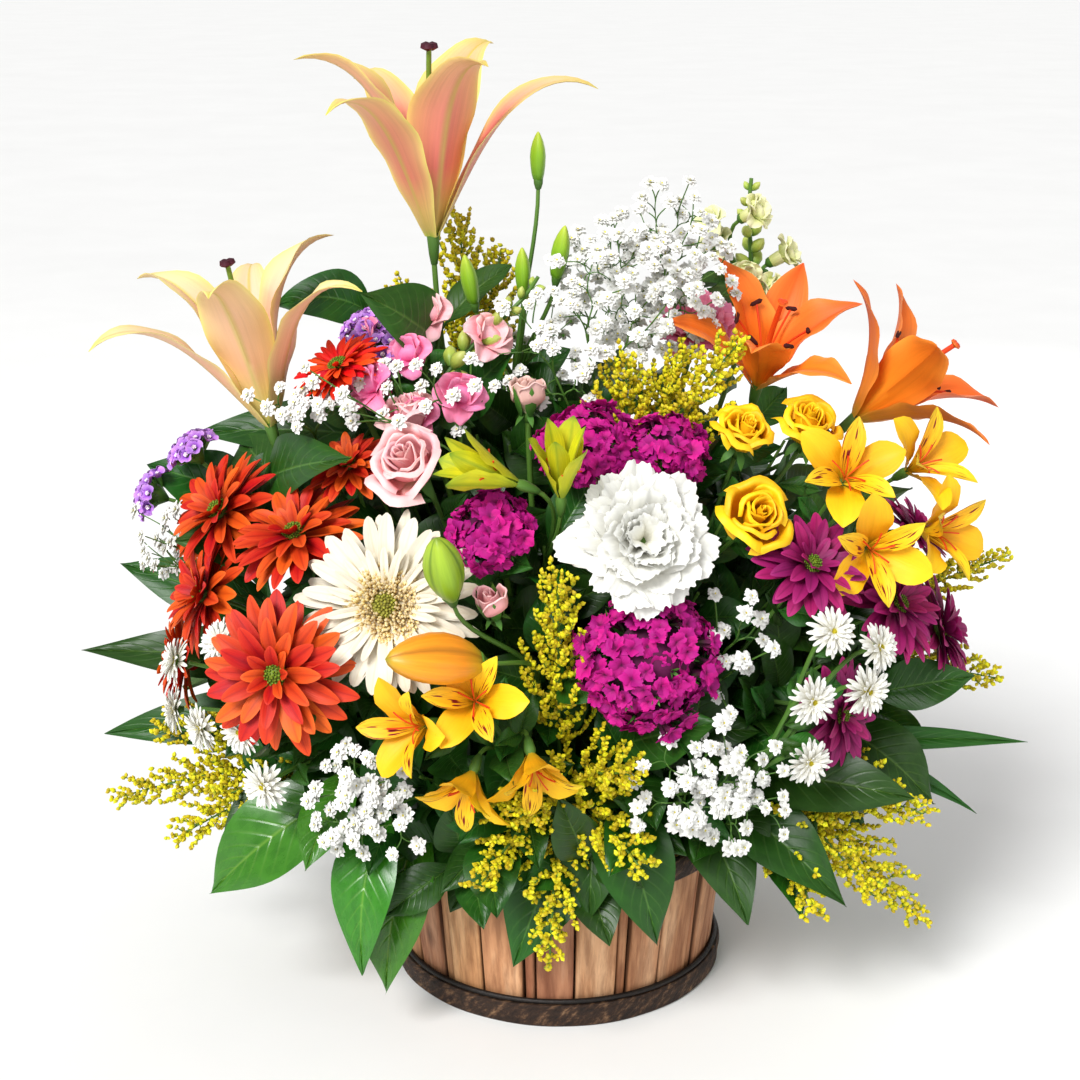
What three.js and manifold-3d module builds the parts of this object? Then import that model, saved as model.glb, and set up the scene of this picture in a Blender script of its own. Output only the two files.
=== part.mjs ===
// A flower basket arrangement: a round basket of wooden staves with a liner and a block of wet
// foam, and a dome of cut flowers and foliage whose stems stand in holes in the foam.
//
// Millimetres, +Z up. The origin is the centre of the basket's underside. The viewer stands at -Y,
// so an azimuth of 0 degrees faces the viewer, 90 faces +X (the viewer's right) and 180 the back.
import * as THREE from "three";
import { mergeVertices } from "three/addons/utils/BufferGeometryUtils.js";
import Module from "manifold-3d";

const kernel = await Module();
kernel.setup();

// ---------------------------------------------------------------- driving dimensions
const GAP = 0.4; // clear space kept between neighbouring pieces
const BASKET = { baseRadius: 93, rimRadius: 104, height: 100, wall: 9 };
const BATTENS = 11; // round the wall: two broad staves, then one narrow batten, eleven times
const BATTEN_SHARE = 0.13; // of each stretch of two staves and a batten
const BASE_HOOP = { height: 17, depth: 6 };
const RIM_HOOP = { low: 84, high: 99, depth: 3 };
const BOARD_THICKNESS = 8;
const LINER = { wall: 1.6, top: 96, clearance: 2.4 }; // it stands clear of the staves
const FOAM = { radius: 74, top: 112 };
const FOCUS = { height: 60, reach: 42, slope: 30 }; // the stems point at this height on the axis
const STEM_RADIUS = 2.3;
const TWIG_RADIUS = 1.5;
const PETAL = 1.4; // thickness of a petal at its middle line
const LEAF = 1.4;
const LEAF_TURN = { middle: 60, lean: 1.3 }; // a leaf turns its face to the front, or back past y

// Outlines of petals and leaves, past their roots: [share of the length, share of the width].
const RAY = [[0.66, 1], [1, 0]];
const LANCE = [[0.28, 0.8], [0.58, 1], [0.84, 0.62], [1, 0]];
const SLENDER = [[0.28, 0.6], [0.58, 1], [0.84, 0.66], [1, 0]];
const SPOON = [[0.72, 1], [1, 0]];
const SHELL = [[0.6, 1], [1, 0.55]];
const OVATE = [[0.3, 0.66], [0.64, 1], [1, 0]];
const NARROW = [[0.4, 1], [1, 0]];

const COLOURS = {
  wood: 0xb98560, bark: 0x3a2a20, liner: 0x23271f, foam: 0x3f6b3a, leaf: 0x1f5a1c,
  peach: 0xf2b184, orange: 0xf0620e, bud: 0xf0a81a, cream: 0xf6efdc, white: 0xfbfaf6,
  scarlet: 0xe02c08, rust: 0xd83c0a, plum: 0x8d1057, magenta: 0xc4078a, pink: 0xf7afb6,
  rosePale: 0xe9b9ae, hotPink: 0xee5f96, yellow: 0xf7c00d, lime: 0xcfd20c, lilac: 0x9a4fc0,
  paleGreen: 0xdfe5a6, goldenrod: 0xc5c014, budGreen: 0x9fae4a,
};

// ---------------------------------------------------------------- the florist's plan
// Each plant is one cut stem with all that it carries. A head is
// [kind, size, x, y, z, azimuth, elevation]: the heart of the flower and where it faces. The size
// is a diameter, or the length of one petal for lilies and alstroemerias, or of a bud. The joint
// is where the stem divides.
const PLANTS = [
  { name: "lily_top", colour: "peach", heads: [["lily", 138, -72, 22, 438, -30, 87]], phase: -60 },
  { name: "lily_left", colour: "peach", heads: [["lily", 126, -164, -14, 336, -74, 77]], phase: 30 },
  { name: "lilies_orange", colour: "orange", joint: [90, 22, 268], phase: 10,
    heads: [["lilySmall", 80, 114, 8, 354, 14, 62], ["lilySmall", 88, 172, 12, 334, 84, 42]] },
  { name: "lily_buds", colour: "bud", joint: [-12, -98, 214],
    heads: [["lilyBud", 56, -40, -152, 244, -62, 12], ["lilyBud", 42, -56, -146, 276, -24, 66]] },
  { name: "gerbera_white", colour: "cream", heads: [["gerbera", 98, -92, -118, 264, -12, 18]] },
  { name: "gerbera_red", colour: "scarlet", heads: [["gerberaSmall", 58, -122, -34, 374, -60, 62]] },
  { name: "carnation_white", colour: "white", heads: [["carnation", 82, 42, -120, 300, 6, 26]] },
  { name: "carnation_pink", colour: "hotPink", heads: [["carnationSmall", 58, 82, 48, 380, 10, 50]] },
  { name: "carnation_back", colour: "hotPink", heads: [["carnationSmall", 66, 4, 140, 292, 180, 36]] },
  { name: "sweet_william_top", colour: "magenta", heads: [["umbelSmall", 54, 14, -68, 340, 0, 54]] },
  { name: "sweet_william_right", colour: "magenta",
    heads: [["umbelSmall", 42, 60, -66, 338, 24, 52]] },
  { name: "sweet_william_left", colour: "magenta",
    heads: [["umbelSmall", 44, -38, -107, 303, -14, 44]] },
  { name: "sweet_william_front", colour: "magenta", heads: [["umbel", 80, 48, -128, 234, 14, 10]] },
  { name: "mums_red_high", colour: "rust", joint: [-86, -40, 208],
    heads: [["mum", 72, -192, -26, 288, -52, 40], ["mum", 72, -144, -73, 288, -34, 60],
      ["mum", 50, -116, -52, 322, -30, 62]] },
  { name: "mums_red_low", colour: "rust", joint: [-96, -36, 158],
    heads: [["mum", 64, -200, -48, 246, -64, 24], ["mum", 60, -218, -24, 200, -86, 6]] },
  { name: "mum_red_front", colour: "rust", heads: [["mum", 80, -150, -126, 228, -14, 16]] },
  { name: "mums_plum_inner", colour: "plum", joint: [72, -58, 176],
    heads: [["mum", 64, 134, -96, 278, 26, 46], ["mum", 58, 154, -88, 190, 40, 6]] },
  { name: "mums_plum_outer", colour: "plum", joint: [116, -30, 188],
    heads: [["mum", 66, 186, -66, 246, 52, 34], ["mum", 64, 222, -18, 214, 74, 20],
      ["mum", 50, 208, 4, 268, 84, 46]] },
  { name: "mum_red_back", colour: "rust", heads: [["mum", 78, -100, 122, 258, -142, 26]] },
  { name: "mum_plum_back", colour: "plum", heads: [["mum", 74, 106, 114, 254, 138, 26]] },
  { name: "roses_pink", colour: "pink", joint: [-44, -56, 232],
    heads: [["rose", 38, -80, -86, 332, -26, 42], ["rose", 30, -82, -54, 350, -30, 70],
      ["rosebud", 24, -36, -132, 268, -24, 60]] },
  { name: "rose_pale", colour: "rosePale", heads: [["rosebud", 27, -18, -44, 358, -10, 82]] },
  { name: "roses_yellow", colour: "yellow", joint: [68, -44, 240],
    heads: [["rose", 33, 138, -38, 340, 20, 58], ["rose", 31, 100, -56, 340, 20, 56],
      ["rose", 36, 104, -92, 304, 14, 36]] },
  { name: "alstroemeria_lime", colour: "lime", joint: [-10, -62, 250],
    heads: [["bell", 44, -22, -110, 328, -76, 24], ["bell", 44, 0, -116, 322, 2, 68]] },
  { name: "alstroemeria_yellow_right", colour: "yellow", joint: [112, -30, 236],
    heads: [["alstroemeria", 37, 154, -64, 316, 4, 34], ["alstroemeria", 37, 166, -80, 284, 10, 8],
      ["alstroemeria", 36, 192, -48, 318, 44, 34], ["alstroemeria", 36, 200, -56, 286, 46, 10]] },
  { name: "alstroemeria_yellow_low", colour: "yellow", joint: [-24, -112, 172],
    heads: [["alstroemeria", 34, -70, -142, 206, -40, 8], ["alstroemeria", 33, -44, -146, 220, -6, 26],
      ["alstroemeria", 32, -46, -148, 182, -26, -44], ["alstroemeria", 32, -16, -152, 194, 14, -44]] },
  { name: "mums_white_left", colour: "white", joint: [-112, -62, 150],
    heads: [["button", 28, -184, -100, 236, -40, 24], ["button", 28, -212, -84, 220, -64, 18],
      ["button", 28, -216, -72, 186, -70, 4], ["button", 28, -196, -104, 188, -50, -4],
      ["button", 28, -172, -118, 192, -34, 6], ["button", 30, -160, -122, 162, -30, -2]] },
  { name: "mums_white_right", colour: "white", joint: [100, -116, 164],
    heads: [["button", 28, 142, -132, 254, 14, 24], ["button", 28, 168, -124, 242, 40, 22],
      ["button", 30, 162, -130, 220, 30, 2], ["button", 28, 132, -140, 218, 18, 4],
      ["button", 28, 132, -136, 182, 20, -2]] },
  { name: "mums_white_back", colour: "white", joint: [26, 86, 162],
    heads: [["button", 30, -10, 150, 236, -176, 16], ["button", 30, 24, 162, 222, 172, 4],
      ["button", 30, 56, 150, 240, 158, 16]] },
  { name: "snapdragon_pink", colour: "hotPink", joint: [-72, -32, 338],
    heads: [["snap", 26, -72, 8, 394, -20, 30], ["snap", 26, -100, 0, 380, -70, 20],
      ["snap", 26, -98, -38, 364, -50, 20], ["snap", 26, -56, -50, 362, 10, 24],
      ["snap", 26, -44, -12, 384, 40, 34], ["spire", 52, -22, -4, 398, 50, 60]] },
  { name: "snapdragon_white", colour: "paleGreen", joint: [112, 84, 362],
    heads: [["snap", 21, 122, 68, 398, 60, 20], ["snap", 21, 132, 82, 416, 84, 30],
      ["snap", 21, 98, 76, 422, -60, 40], ["spire", 60, 112, 84, 434, 90, 84]] },
  { name: "statice", colour: "lilac", joint: [-128, 24, 252],
    heads: [["statice", 20, -210, 2, 314, -90, 50], ["statice", 20, -234, 8, 288, -90, 20],
      ["statice", 20, -108, 4, 384, -40, 56], ["statice", 20, -96, -20, 376, -20, 60]] },
  { name: "lisianthus_buds", colour: "budGreen", joint: [-24, 16, 346],
    heads: [["bud", 28, -12, 12, 470, 0, 88], ["bud", 32, -2, -6, 418, 40, 76],
      ["bud", 28, -20, -2, 408, -20, 84], ["bud", 30, -48, 2, 402, -60, 78]] },
];

// Clouds of gypsophila: reach is half the size of the cloud across, deep and high.
const CLOUDS = [
  { name: "gypsophila_top", joint: [44, 8, 326], centre: [50, -4, 420], reach: [46, 30, 46],
    count: 24, seed: 11 },
  { name: "gypsophila_left", joint: [-136, -14, 316], centre: [-140, -54, 358], reach: [34, 12, 12],
    count: 8, seed: 12 },
  { name: "gypsophila_low_left", joint: [-62, -98, 146], centre: [-104, -138, 158],
    reach: [30, 12, 30], count: 14, seed: 13 },
  { name: "gypsophila_low_right", joint: [56, -100, 146], centre: [84, -140, 166],
    reach: [42, 12, 36], count: 15, seed: 14 },
  { name: "gypsophila_back", joint: [-30, 62, 290], centre: [-40, 96, 352], reach: [58, 34, 34],
    count: 14, seed: 15 },
];

// Plumes of goldenrod: the tip of each branch, and how many rings of florets it has.
const PLUMES = [
  { name: "goldenrod_front", joint: [0, -96, 150],
    branches: [[-2, -140, 286, 8], [36, -158, 184, 5], [-22, -160, 160, 5], [-44, -158, 118, 5],
      [44, -158, 128, 5], [-6, -150, 66, 7]] },
  { name: "goldenrod_left", joint: [-120, -26, 132],
    branches: [[-262, -34, 114, 7], [-228, -44, 92, 5], [-240, -14, 150, 6], [-198, -56, 124, 4]] },
  { name: "goldenrod_top", joint: [-54, 48, 318],
    branches: [[-58, 58, 446, 7], [-96, 60, 404, 4], [-34, 54, 424, 4]] },
  { name: "goldenrod_high", joint: [38, -30, 300],
    branches: [[98, -52, 392, 7], [36, -48, 382, 4], [70, -34, 384, 5]] },
  { name: "goldenrod_right", joint: [118, -56, 134],
    branches: [[214, -72, 50, 7], [140, -124, 84, 5], [206, -96, 132, 6], [178, -104, 84, 5]] },
  { name: "goldenrod_edge", joint: [134, 12, 176],
    branches: [[268, 18, 248, 7], [268, 6, 174, 7]] },
];

// Leafy stems: the end of the stem, and its leaves: [share of the stem, tip x, y, z, arch, width].
const SPRIGS = [
  { name: "leaves_top_left", end: [-108, 46, 396],
    leaves: [[0.72, -214, 40, 318, 12, 38], [0.9, -104, 96, 380, 12, 36],
      [0.96, -164, 34, 396, 20, 36]] },
  { name: "leaves_left", end: [-166, 26, 214],
    leaves: [[0.5, -276, 8, 138, 10, 38], [0.72, -288, 14, 190, 6, 32], [0.9, -266, 36, 238, 6, 36]] },
  { name: "leaves_low_left", end: [-118, -96, 166],
    leaves: [[0.5, -98, -112, 30, 26, 42], [0.72, -110, -120, 46, 26, 36], [0.84, -198, -92, 82, 16, 50],
      [0.94, -138, -136, 118, 8, 30]] },
  { name: "leaves_front", end: [26, -100, 180],
    leaves: [[0.46, -26, -122, 52, 22, 50], [0.56, 16, -124, 82, 18, 40], [0.68, 54, -126, 68, 22, 44],
      [0.9, 84, -134, 204, 6, 36]] },
  { name: "leaves_upper_left", end: [-184, 22, 298],
    leaves: [[0.9, -242, 18, 304, 6, 40], [0.96, -112, -88, 336, 10, 38]] },
  { name: "leaves_low_right", end: [108, -74, 160],
    leaves: [[0.5, 104, -122, 78, 22, 44], [0.62, 158, -124, 90, 18, 40], [0.8, 196, -104, 146, 12, 40]] },
  { name: "leaves_right", end: [182, -40, 186],
    leaves: [[0.6, 274, -38, 152, 14, 14], [0.7, 244, -50, 112, 14, 12], [0.8, 214, -72, 128, 12, 40],
      [0.95, 238, -46, 196, 6, 30]] },
  { name: "leaves_back_left", end: [-136, 84, 226],
    leaves: [[0.45, -150, 118, 50, 40, 56], [0.6, -240, 78, 140, 20, 54], [0.75, -176, 150, 178, 18, 52],
      [0.95, -226, 92, 268, 12, 48]] },
  { name: "leaves_back_right", end: [138, 78, 226],
    leaves: [[0.36, 50, 150, 48, 36, 54], [0.45, 150, 112, 50, 40, 56], [0.6, 240, 74, 134, 20, 54],
      [0.75, 172, 146, 172, 18, 52], [0.95, 222, 84, 272, 12, 48]] },
  { name: "leaves_back", end: [-26, 106, 246],
    leaves: [[0.4, -40, 152, 48, 34, 56], [0.7, -76, 164, 176, 16, 50], [0.8, -8, 176, 192, 14, 46],
      [0.96, -50, 152, 316, 12, 46]] },
];

// ---------------------------------------------------------------- small helpers
const radians = THREE.MathUtils.degToRad;
const vec = (x, y, z) => new THREE.Vector3(x, y, z);
const Z = vec(0, 0, 1);
const GOLDEN_ANGLE = Math.PI * (3 - Math.sqrt(5));

function direction(azimuth, elevation) {
  const flat = Math.cos(radians(elevation));
  return vec(flat * Math.sin(radians(azimuth)), -flat * Math.cos(radians(azimuth)),
    Math.sin(radians(elevation)));
}

function seeded(seed) {
  let state = seed * 7919 + 17;
  return () => {
    state = (state * 16807) % 2147483647;
    return state / 2147483647;
  };
}

// Points of a ring round a line through centre, counter-clockwise seen from where it points. The
// first one is nearest to the lead direction.
function ringRound(centre, along, radius, lead, sides = 3) {
  const first = lead.clone().addScaledVector(along, -lead.dot(along)).normalize();
  const second = new THREE.Vector3().crossVectors(along, first);
  return Array.from({ length: sides }, (_, k) => {
    const turn = (2 * Math.PI * k) / sides;
    return centre.clone().addScaledVector(first, Math.cos(turn) * radius)
      .addScaledVector(second, Math.sin(turn) * radius);
  });
}

// ---------------------------------------------------------------- a surface grown ring by ring
class Skin {
  points = [];
  faces = [];
  place = new THREE.Matrix4();

  ring(points) {
    return points.map((p) => this.points.push(p.clone().applyMatrix4(this.place)) - 1);
  }

  middle(ring) {
    return ring.reduce((sum, i) => sum.add(this.points[i]), new THREE.Vector3())
      .divideScalar(ring.length);
  }

  // Closes a ring on one point ahead of it.
  fan(ring, apex) {
    const [tip] = this.ring([apex]);
    ring.forEach((p, i) => this.faces.push(p, ring[(i + 1) % ring.length], tip));
  }

  // Closes a ring with a flat face.
  lid(ring) {
    for (let i = 1; i + 1 < ring.length; i++) this.faces.push(ring[0], ring[i], ring[i + 1]);
  }

  // Joins the four-sided rings of a blade, split alike on both of its faces.
  band(a, b) {
    for (let i = 0; i < a.length; i++) {
      const next = (i + 1) % a.length;
      if (i % 2) this.faces.push(a[i], a[next], b[next], a[i], b[next], b[i]);
      else this.faces.push(a[i], a[next], b[i], a[next], b[next], b[i]);
    }
  }

  // Joins a ring to the next, whose points stand half a step further round.
  weave(a, b) {
    a.forEach((p, i) => {
      const next = (i + 1) % a.length;
      this.faces.push(p, a[next], b[i], a[next], b[next], b[i]);
    });
  }

  // Joins two rings of any number of points, the shorter way at each step.
  bridge(a, b) {
    const spokes = (ring) => {
      const middle = this.middle(ring);
      return ring.map((i) => this.points[i].clone().sub(middle).normalize());
    };
    const [from, to] = [spokes(a), spokes(b)];
    const far = (i, j) => from[i % a.length].distanceToSquared(to[j % b.length]);
    let start = 0;
    for (let j = 1; j < b.length; j++) if (far(0, j) < far(0, start)) start = j;
    for (let i = 0, j = 0; i < a.length || j < b.length;) {
      const stepA = i < a.length && (j >= b.length || far(i + 1, start + j) <= far(i, start + j + 1));
      const third = stepA ? a[(i + 1) % a.length] : b[(start + j + 1) % b.length];
      this.faces.push(a[i % a.length], third, b[(start + j) % b.length]);
      if (stepA) i++;
      else j++;
    }
  }

  geometry() {
    const geometry = new THREE.BufferGeometry().setFromPoints(this.points);
    geometry.setIndex(this.faces);
    return geometry;
  }
}

// ---------------------------------------------------------------- what grows out of a side face
// A blade is a petal or a leaf: thick at its middle line, thin at its edges. line(s) gives the
// { point, along } of its middle line, and across is the direction of its width.
function blade(skin, quad, { width, thick = PETAL, cup = 0, outline, line, across }, grow) {
  let last = quad;
  for (const [s, share] of outline) {
    const { point, along } = line(s);
    const right = across.clone().addScaledVector(along, -across.dot(along)).normalize();
    const up = new THREE.Vector3().crossVectors(along, right);
    if (!share) {
      skin.fan(last, point.addScaledVector(along, 2 * grow));
      return;
    }
    const half = (share * width) / 2 + 2 * grow;
    const lift = cup * share * (width / 2);
    const edge = (sign) => point.clone().addScaledVector(right, sign * half).addScaledVector(up, lift);
    const middle = (sign) => point.clone().addScaledVector(up, sign * (thick / 2 + grow));
    const ring = skin.ring([middle(-1), edge(1), middle(1), edge(-1)]);
    if (last === quad) skin.weave(last, ring);
    else skin.band(last, ring);
    last = ring;
  }
  skin.lid(last);
}

// The middle line of a petal. Its slope goes from rise[0] to rise[1] degrees above the flower's
// plane, late in its length where bend is above 1.
function petalLine({ length, rise, bend = 1, start, height, turn }) {
  const STEPS = 24;
  const slope = (t) => radians(rise[0] + (rise[1] - rise[0]) * t ** bend);
  return (s) => {
    let [out, up] = [start, height];
    for (let i = 0; i < STEPS; i++) {
      const here = slope(((i + 0.5) * s) / STEPS);
      out += (Math.cos(here) * length * s) / STEPS;
      up += (Math.sin(here) * length * s) / STEPS;
    }
    const end = slope(s);
    return {
      point: vec(Math.cos(turn) * out, Math.sin(turn) * out, up),
      along: vec(Math.cos(turn) * Math.cos(end), Math.sin(turn) * Math.cos(end), Math.sin(end)),
    };
  };
}

const petal = (shape) => (skin, quad, { turn, radius, height }, grow) =>
  blade(skin, quad, {
    ...shape,
    line: petalLine({ ...shape, start: radius, height, turn }),
    across: vec(-Math.sin(turn), Math.cos(turn), 0),
  }, grow);

// A plain point, for what is too small for a blade.
const spike = ({ length, rise }) => (skin, quad, { turn, radius, height }) => {
  const out = radius + length * Math.cos(radians(rise));
  const up = height + length * Math.sin(radians(rise));
  skin.fan(quad, vec(Math.cos(turn) * out, Math.sin(turn) * out, up));
};

// A fan with a toothed and waved outer edge.
const frill = ({ length, width, rise }) => (skin, quad, { turn, radius, height }, grow) => {
  const TEETH = 5;
  const slope = radians(rise);
  const out = vec(Math.cos(slope) * Math.cos(turn), Math.cos(slope) * Math.sin(turn), Math.sin(slope));
  const across = vec(-Math.sin(turn), Math.cos(turn), 0);
  const up = new THREE.Vector3().crossVectors(out, across);
  const root = vec(Math.cos(turn) * radius, Math.sin(turn) * radius, height);
  const rim = (sign) => skin.ring(Array.from({ length: TEETH }, (_, i) => {
    const share = i / (TEETH - 1) - 0.5;
    const reach = length * (1 - 0.5 * share * share - (i % 2 ? 0.1 : 0)) + 2 * grow;
    const wave = i % 2 ? -2.4 : 2.4;
    return root.clone().addScaledVector(out, reach).addScaledVector(across, share * (width + 4 * grow))
      .addScaledVector(up, wave + sign * (PETAL / 2 + grow));
  }));
  const [low, high] = [rim(-1), rim(1)];
  const [a, b, c, d] = quad;
  for (let i = 0; i + 1 < TEETH; i++)
    skin.faces.push(d, high[i], high[i + 1], a, low[i + 1], low[i],
      low[i], low[i + 1], high[i + 1], low[i], high[i + 1], high[i]);
  const [lowEnd, highEnd] = [low[TEETH - 1], high[TEETH - 1]];
  skin.faces.push(d, highEnd, c, a, b, lowEnd, a, low[0], high[0], a, high[0], d,
    b, c, highEnd, b, highEnd, lowEnd);
};

// A floret of four lobes, held out from the face on a short neck.
const floret = ({ radius: lobe, reach, rise }) => (skin, quad, { turn, height }, grow) => {
  const slope = radians(rise);
  const out = vec(Math.cos(slope) * Math.cos(turn), Math.cos(slope) * Math.sin(turn), Math.sin(slope));
  const centre = vec(0, 0, height).addScaledVector(out, reach);
  const lead = vec(Math.sin(turn), -Math.cos(turn), 0).addScaledVector(Z, -1);
  const star = ringRound(centre, out, 1, lead, 8).map((p, k) =>
    p.sub(centre).multiplyScalar((k % 2 ? 0.6 : 1) * lobe + 2 * grow).add(centre));
  const ring = skin.ring(star);
  skin.bridge(quad, ring);
  skin.fan(ring, centre.clone().addScaledVector(out, 2.2 + grow));
};

// ---------------------------------------------------------------- the kinds of flower
// A flower is a short column on the flower's axis, in tiers. Each side face of a tier carries a
// petal. tiers: [count, radius, low, high, petal, twist in degrees]. crown: [radius, height]
// rings past the tiers, closed on a point at tip. neck: from the heart down to the bend.
const KINDS = {
  lily: (R, phase) => ({
    neck: 16,
    tiers: [
      [3, 6, -2, 1.5, petal({ length: R, width: R * 0.24, rise: [64, -36], bend: 3.2, cup: 0.1,
        outline: LANCE, thick: 1.8 }), phase + 60],
      [3, 4.5, 5, 9, petal({ length: R * 0.98, width: R * 0.3, rise: [77, -20], bend: 3, cup: 0.12,
        outline: SLENDER, thick: 1.8 }), phase],
    ],
    crown: [[1.8, 14], [1.3, R * 0.62], [2.6, R * 0.66]], tip: R * 0.7,
  }),
  lilySmall: (R, phase) => ({
    neck: 14,
    tiers: [
      [3, 5, -2, 1.5, petal({ length: R, width: R * 0.32, rise: [58, 0], bend: 2, cup: 0.1,
        outline: SPOON }), phase + 60],
      [3, 4, 5, 8, petal({ length: R * 0.96, width: R * 0.38, rise: [72, 10], bend: 2, cup: 0.26,
        outline: SPOON }), phase],
    ],
    crown: [[1.6, 12], [1.1, R * 0.62], [2.2, R * 0.66]], tip: R * 0.7,
  }),
  bud: (L) => ({
    neck: 3, tiers: [[5, L * 0.13, 0, L * 0.3]], crown: [[L * 0.16, L * 0.55], [L * 0.08, L * 0.86]],
    tip: L,
  }),
  lilyBud: (L) => ({
    neck: 3, tiers: [[6, L * 0.12, 0, L * 0.16]], crown: [[L * 0.24, L * 0.52], [L * 0.12, L * 0.86]],
    tip: L,
  }),
  mum: (D) => {
    const R = D / 2;
    return {
      neck: 12,
      tiers: [
        [10, R * 0.2, -2, 0, petal({ length: R * 0.8, width: R * 0.45, rise: [24, -10], cup: 0.1,
          outline: RAY })],
        [5, R * 0.16, 3, 5, petal({ length: R * 0.55, width: R * 0.42, rise: [58, 20], cup: 0.1,
          outline: RAY })],
      ],
      tip: 9,
    };
  },
  button: (D) => {
    const R = D / 2;
    return {
      neck: 8,
      tiers: [[6, R * 0.26, -1, 0.8, petal({ length: R * 0.78, width: R * 0.66, rise: [34, 0], cup: 0.1,
        outline: RAY })]],
      tip: 5,
    };
  },
  gerbera: (D) => {
    const R = D / 2;
    return {
      neck: 16,
      tiers: [
        [16, R * 0.3, -2, -0.2, petal({ length: R * 0.7, width: R * 0.3, rise: [12, 0], cup: 0.1,
          outline: [[0.8, 1], [1, 0]] })],
        [12, R * 0.26, 3, 5, spike({ length: R * 0.2, rise: 34 })],
      ],
      crown: [[R * 0.16, 6]], tip: 4.5,
    };
  },
  gerberaSmall: (D) => {
    const R = D / 2;
    return {
      neck: 14,
      tiers: [[12, R * 0.3, -2, -0.2, petal({ length: R * 0.7, width: R * 0.34, rise: [10, -6], cup: 0.1,
        outline: RAY })]],
      crown: [[R * 0.26, 4]], tip: 6,
    };
  },
  carnation: (D) => {
    const R = D / 2;
    return {
      neck: 20,
      tiers: [
        [7, R * 0.22, -3, -1, frill({ length: R * 0.78, width: R * 0.78, rise: 0 })],
        [6, R * 0.2, 4, 6, frill({ length: R * 0.7, width: R * 0.7, rise: 26 })],
        [4, R * 0.17, 10, 12, frill({ length: R * 0.56, width: R * 0.66, rise: 54 })],
      ],
      crown: [[R * 0.2, R * 0.5]], tip: R * 0.62,
    };
  },
  carnationSmall: (D) => {
    const R = D / 2;
    return {
      neck: 18,
      tiers: [
        [6, R * 0.22, -3, -1, frill({ length: R * 0.78, width: R * 0.86, rise: 6 })],
        [5, R * 0.2, 5, 7, frill({ length: R * 0.6, width: R * 0.66, rise: 42 })],
      ],
      crown: [[R * 0.26, R * 0.5]], tip: R * 0.68,
    };
  },
  umbel: (D) => {
    const R = D / 2;
    return {
      neck: R * 0.6,
      tiers: [
        [8, R * 0.5, -R * 0.18, R * 0.02, floret({ radius: R * 0.26, reach: R * 0.82, rise: 4 })],
        [6, R * 0.42, R * 0.22, R * 0.3, floret({ radius: R * 0.25, reach: R * 0.7, rise: 40 })],
        [3, R * 0.2, R * 0.42, R * 0.46, floret({ radius: R * 0.2, reach: R * 0.52, rise: 68 })],
      ],
      tip: R * 0.5,
    };
  },
  umbelSmall: (D) => {
    const R = D / 2;
    return {
      neck: R * 0.6,
      tiers: [
        [6, R * 0.5, -R * 0.1, R * 0.12, floret({ radius: R * 0.36, reach: R * 0.8, rise: 10 })],
        [4, R * 0.34, R * 0.36, R * 0.44, floret({ radius: R * 0.3, reach: R * 0.56, rise: 52 })],
      ],
      tip: R * 0.7,
    };
  },
  rose: (D) => {
    const R = D / 2;
    return {
      neck: 10,
      tiers: [
        [4, R * 0.34, -R * 0.3, -R * 0.12, petal({ length: R * 1.1, width: R * 1.1, rise: [56, -30],
          cup: 0.2, outline: SHELL })],
        [3, R * 0.3, 0, R * 0.2, petal({ length: R * 1.0, width: R * 0.95, rise: [84, 46], cup: 0.3,
          outline: SHELL }), 20],
      ],
      crown: [[R * 0.3, R * 0.8]], tip: R * 1.0,
    };
  },
  rosebud: (D) => {
    const R = D / 2;
    return {
      neck: 8,
      tiers: [[4, R * 0.6, 0, R * 0.3, petal({ length: R * 1.7, width: R * 1.1, rise: [86, 74],
        cup: 0.3, outline: SHELL })]],
      crown: [[R * 0.42, R * 1.3]], tip: R * 2.1,
    };
  },
  bell: (L) => ({
    neck: 8,
    tiers: [
      [3, 3.4, -1, 1, petal({ length: L, width: L * 0.36, rise: [62, 74], cup: 0.1, outline: SPOON }), 60],
      [3, 3, 4, 6.5, petal({ length: L * 0.9, width: L * 0.3, rise: [74, 76], cup: 0.1, outline: SPOON })],
    ],
    tip: 12,
  }),
  alstroemeria: (L) => ({
    neck: 8,
    tiers: [
      [3, 3.2, -1, 1, petal({ length: L * 0.86, width: L * 0.52, rise: [52, 8], cup: 0.12,
        outline: SPOON }), 60],
      [3, 2.8, 3.5, 5.5, petal({ length: L * 0.84, width: L * 0.32, rise: [66, 24], cup: 0.2,
        outline: SPOON })],
    ],
    tip: 11,
  }),
  snap: (D) => {
    const R = D / 2;
    return {
      neck: 5,
      tiers: [[4, R * 0.4, 0, R * 0.4, petal({ length: R * 0.95, width: R * 0.85, rise: [64, -30],
        cup: 0.2, outline: SPOON }), 45]],
      crown: [[R * 0.34, R * 0.7]], tip: R * 0.9,
    };
  },
  statice: (D) => ({
    neck: 4,
    tiers: [[6, D * 0.2, 0, D * 0.4, spike({ length: D * 0.5, rise: 34 })]],
    tip: D * 0.7,
  }),
};

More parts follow.
